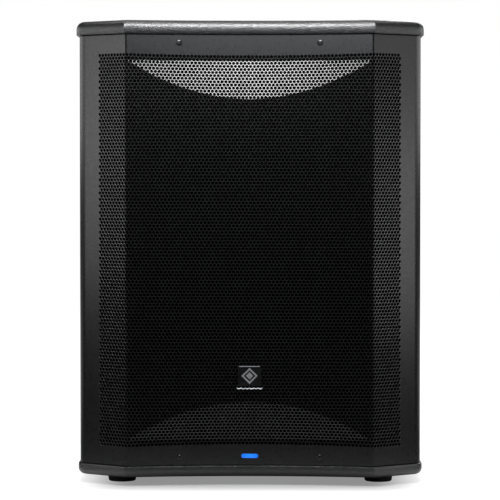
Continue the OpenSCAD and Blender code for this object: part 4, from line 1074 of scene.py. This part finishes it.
def studio_floor():
    """Pale floor that runs out into a white surround, so no horizon shows.
    The camera sees a painted soft shadow near the object; other rays meet a grey floor with a painted pale
    ring round the object, and painted light that the floor gives off behind it."""
    s = Shader("floor_white")
    seen = s.add("LightPath").outputs["Is Camera Ray"]
    footprint = (SIDE_X - 80 * MM, -GRILLE_FRONT - 20 * MM, 0)

    def vector(operation, inputs, output="Vector"):
        return s.add("VectorMath", inputs, operation=operation).outputs[output]

    beyond = vector("SUBTRACT", {0: vector("ABSOLUTE", {0: s.place}), 1: footprint})
    away = vector("LENGTH", {0: vector("MAXIMUM", {0: beyond})}, "Value")

    # Painted light for other rays: darker under the object, a pale ring round it and grey beyond, so the
    # grille's lower parts mirror a lit floor.
    painted_light_ring = s.add("ValToRGB", {"Fac": away})
    ramp = painted_light_ring.color_ramp.elements
    for distance, grey in ((0.07, 0.90), (0.19, 0.90), (0.27, 0.12)):
        ramp.new(distance).color = (grey, grey, grey, 1)
    ramp[0].color = (0.18, 0.18, 0.18, 1)
    ramp[-1].color = (0.10, 0.10, 0.10, 1)
    pick = s.add("Mix", data_type="RGBA")
    s.feed(pick, {"Factor": seen, "A": painted_light_ring.outputs["Color"], "B": s.between(s.noise(3), 0.31, 0.33)})
    s.coat(pick.outputs["Result"], 0.9, specular=0.1)

    # Painted shadow: to the camera the floor's glow drops near the object, a soft contact shadow painted into
    # its emission.
    painted_contact_shadow = s.add("MapRange", {"Value": away, "From Max": 0.125, "To Min": 0.27},
                 interpolation_type="SMOOTHSTEP")
    # Painted light: for other rays the floor glows behind the object, lighting its back and giving it a
    # reflection.
    split = s.add("SeparateXYZ", {"Vector": s.place})
    behind = s.add("MapRange", {"Value": split.outputs["Y"], "From Max": 0.5, "To Max": 0.6},
                   interpolation_type="SMOOTHSTEP")
    painted_floor_shadow_and_light = s.add("Mix", {"Factor": seen, "A": behind.outputs["Result"], "B": painted_contact_shadow.outputs["Result"]})
    s.feed(s.bsdf, {"Emission Color": (1, 1, 1, 1), "Emission Strength": painted_floor_shadow_and_light.outputs["Result"]})

    radius, count = 5.0, 96
    ring = [(radius * math.cos(a), radius * math.sin(a), 0) for a in full_turn(count)]
    floor = mesh_object("floor", ring, [list(range(count))])
    floor.data.materials.append(s.material)
    s.material.cycles.emission_sampling = "NONE"


def studio_world():
    """White to the camera, dim to everything else."""
    world = bpy.data.worlds.new("studio_world")
    s = Nodes(world)
    dim = s.add("Background", {"Color": (0.9, 0.95, 1, 1), "Strength": 0.06}).outputs["Background"]
    white = s.add("Background", {"Color": (1, 1, 1, 1), "Strength": 1.0}).outputs["Background"]
    mix = s.add("MixShader", {"Fac": s.add("LightPath").outputs["Is Camera Ray"], 1: dim, 2: white})
    s.feed(s.tree.nodes["World Output"], {"Surface": mix.outputs["Shader"]})
    world.cycles.sampling_method = "NONE"
    bpy.context.scene.world = world


def studio():
    """Floor, surround and softboxes. The front ones mirror in the slanted crescent and in the strips,
    the side ones in the wings, and the others light the top, the sides and the back."""
    studio_floor()
    studio_world()
    upper, left_wing, right_wing = (-0.06, -0.29, 0.62), (-0.21, -0.27, 0.45), (0.21, -0.27, 0.45)
    cool = (0.92, 0.95, 1.0)
    area_light("key", (-0.07, -1.00, 1.174), upper, (0.95, 0.22), 2.25, spread=50)
    area_light("key_upper", (-0.07, -0.87, 1.309), upper, (0.95, 0.22), 10)
    area_light("key_low", (-0.07, -1.163, 0.838), upper, (0.5, 0.2), 1.9, cool)
    area_light("key_low_left", (-0.36, -1.163, 0.82), upper, (0.5, 0.2), 0.2, cool)
    area_light("overhead", (0, -0.3, 1.36), (0, -0.3, 0.66), (1.2, 0.8), 5)
    area_light("left_box", (-1.306, -0.713, 0.70), left_wing, (0.45, 0.42), 1.7)
    area_light("left_mid", (-1.306, -0.713, 0.40), left_wing, (0.45, 0.3), 1.1)
    area_light("left_side", (-1.22, 0.2, 0.72), (-0.25, -0.2, 0.45), (1.2, 0.5), 3)
    area_light("right_box", (2.114, -1.039, 0.80), right_wing, (0.8, 0.6), 2.05)
    area_light("right_low", (1.32, -0.718, 0.35), right_wing, (0.45, 0.38), 1.5)
    area_light("right_side", (1.22, 0.2, 0.72), (0.25, -0.2, 0.45), (1.2, 0.5), 3)
    area_light("back_fill", (0.8, 3.0, 2.0), (0, 0.28, 0.3), (1.6, 1.2), 30)
    bpy.context.scene.view_settings.view_transform = "Standard"


def camera():
    """Long lens a little above the middle, tipped down, as far to the right as it turns back to the left."""
    distance, tip, turn = 3.5, math.radians(1.68), math.radians(0.645)
    data = bpy.data.cameras.new("camera")
    data.sensor_width = 36
    data.lens = 177.5
    data.clip_end = 50
    obj = bpy.data.objects.new("camera", data)
    obj.location = (0.04, GRILLE_FRONT - distance, 0.44)
    obj.rotation_euler = (math.pi / 2 - tip, 0, turn)
    bpy.context.scene.collection.objects.link(obj)
    bpy.context.scene.camera = obj


# ---- build
FINISH = finishes()
# Painted shade for the walls of the grille's holes
HOLE_WALL_SHADE = painted_hole_shade()
for band in range(GRILLE_BANDS):
    grille_band(band)
grille_cloth()
plates()
badge_plate()
badge_emblem()
badge_bar_and_edge_glint()
status_light()
button_head_screws()
rubber_feet()
surround()
spider()
cone()
dust_cap()
leads()
lining()
handle(1)
handle(-1)
control_knob("level_knob", "level_control", "level_pointer")
control_knob("crossover_knob", "crossover_control", "crossover_pointer")
panel_marks()

# Width of the small bevels on the CAD nodes' edges, in mm, by material slot
SHARP = {"painted_board": 0.8, "bare_ply": 0.5, "black_metal": 0.3, "zinc_steel": 0.25, "heatsink_alloy": 0.3,
         "black_plastic": 0.3, "ferrite": 0.8, "rocker_red": 0.5, "light_plastic": 0.4, "sheet_alloy": 0.3}
for part in frame["record"]["subparts"]:
    node = frame["nodes"][part["node"]]
    if node.hide_render:
        continue
    node.data.materials.clear()
    node.data.materials.append(FINISH[part["material_slot"]])
    soften_cad(node, SHARP.get(part["material_slot"], 0) * MM)
studio()
camera()
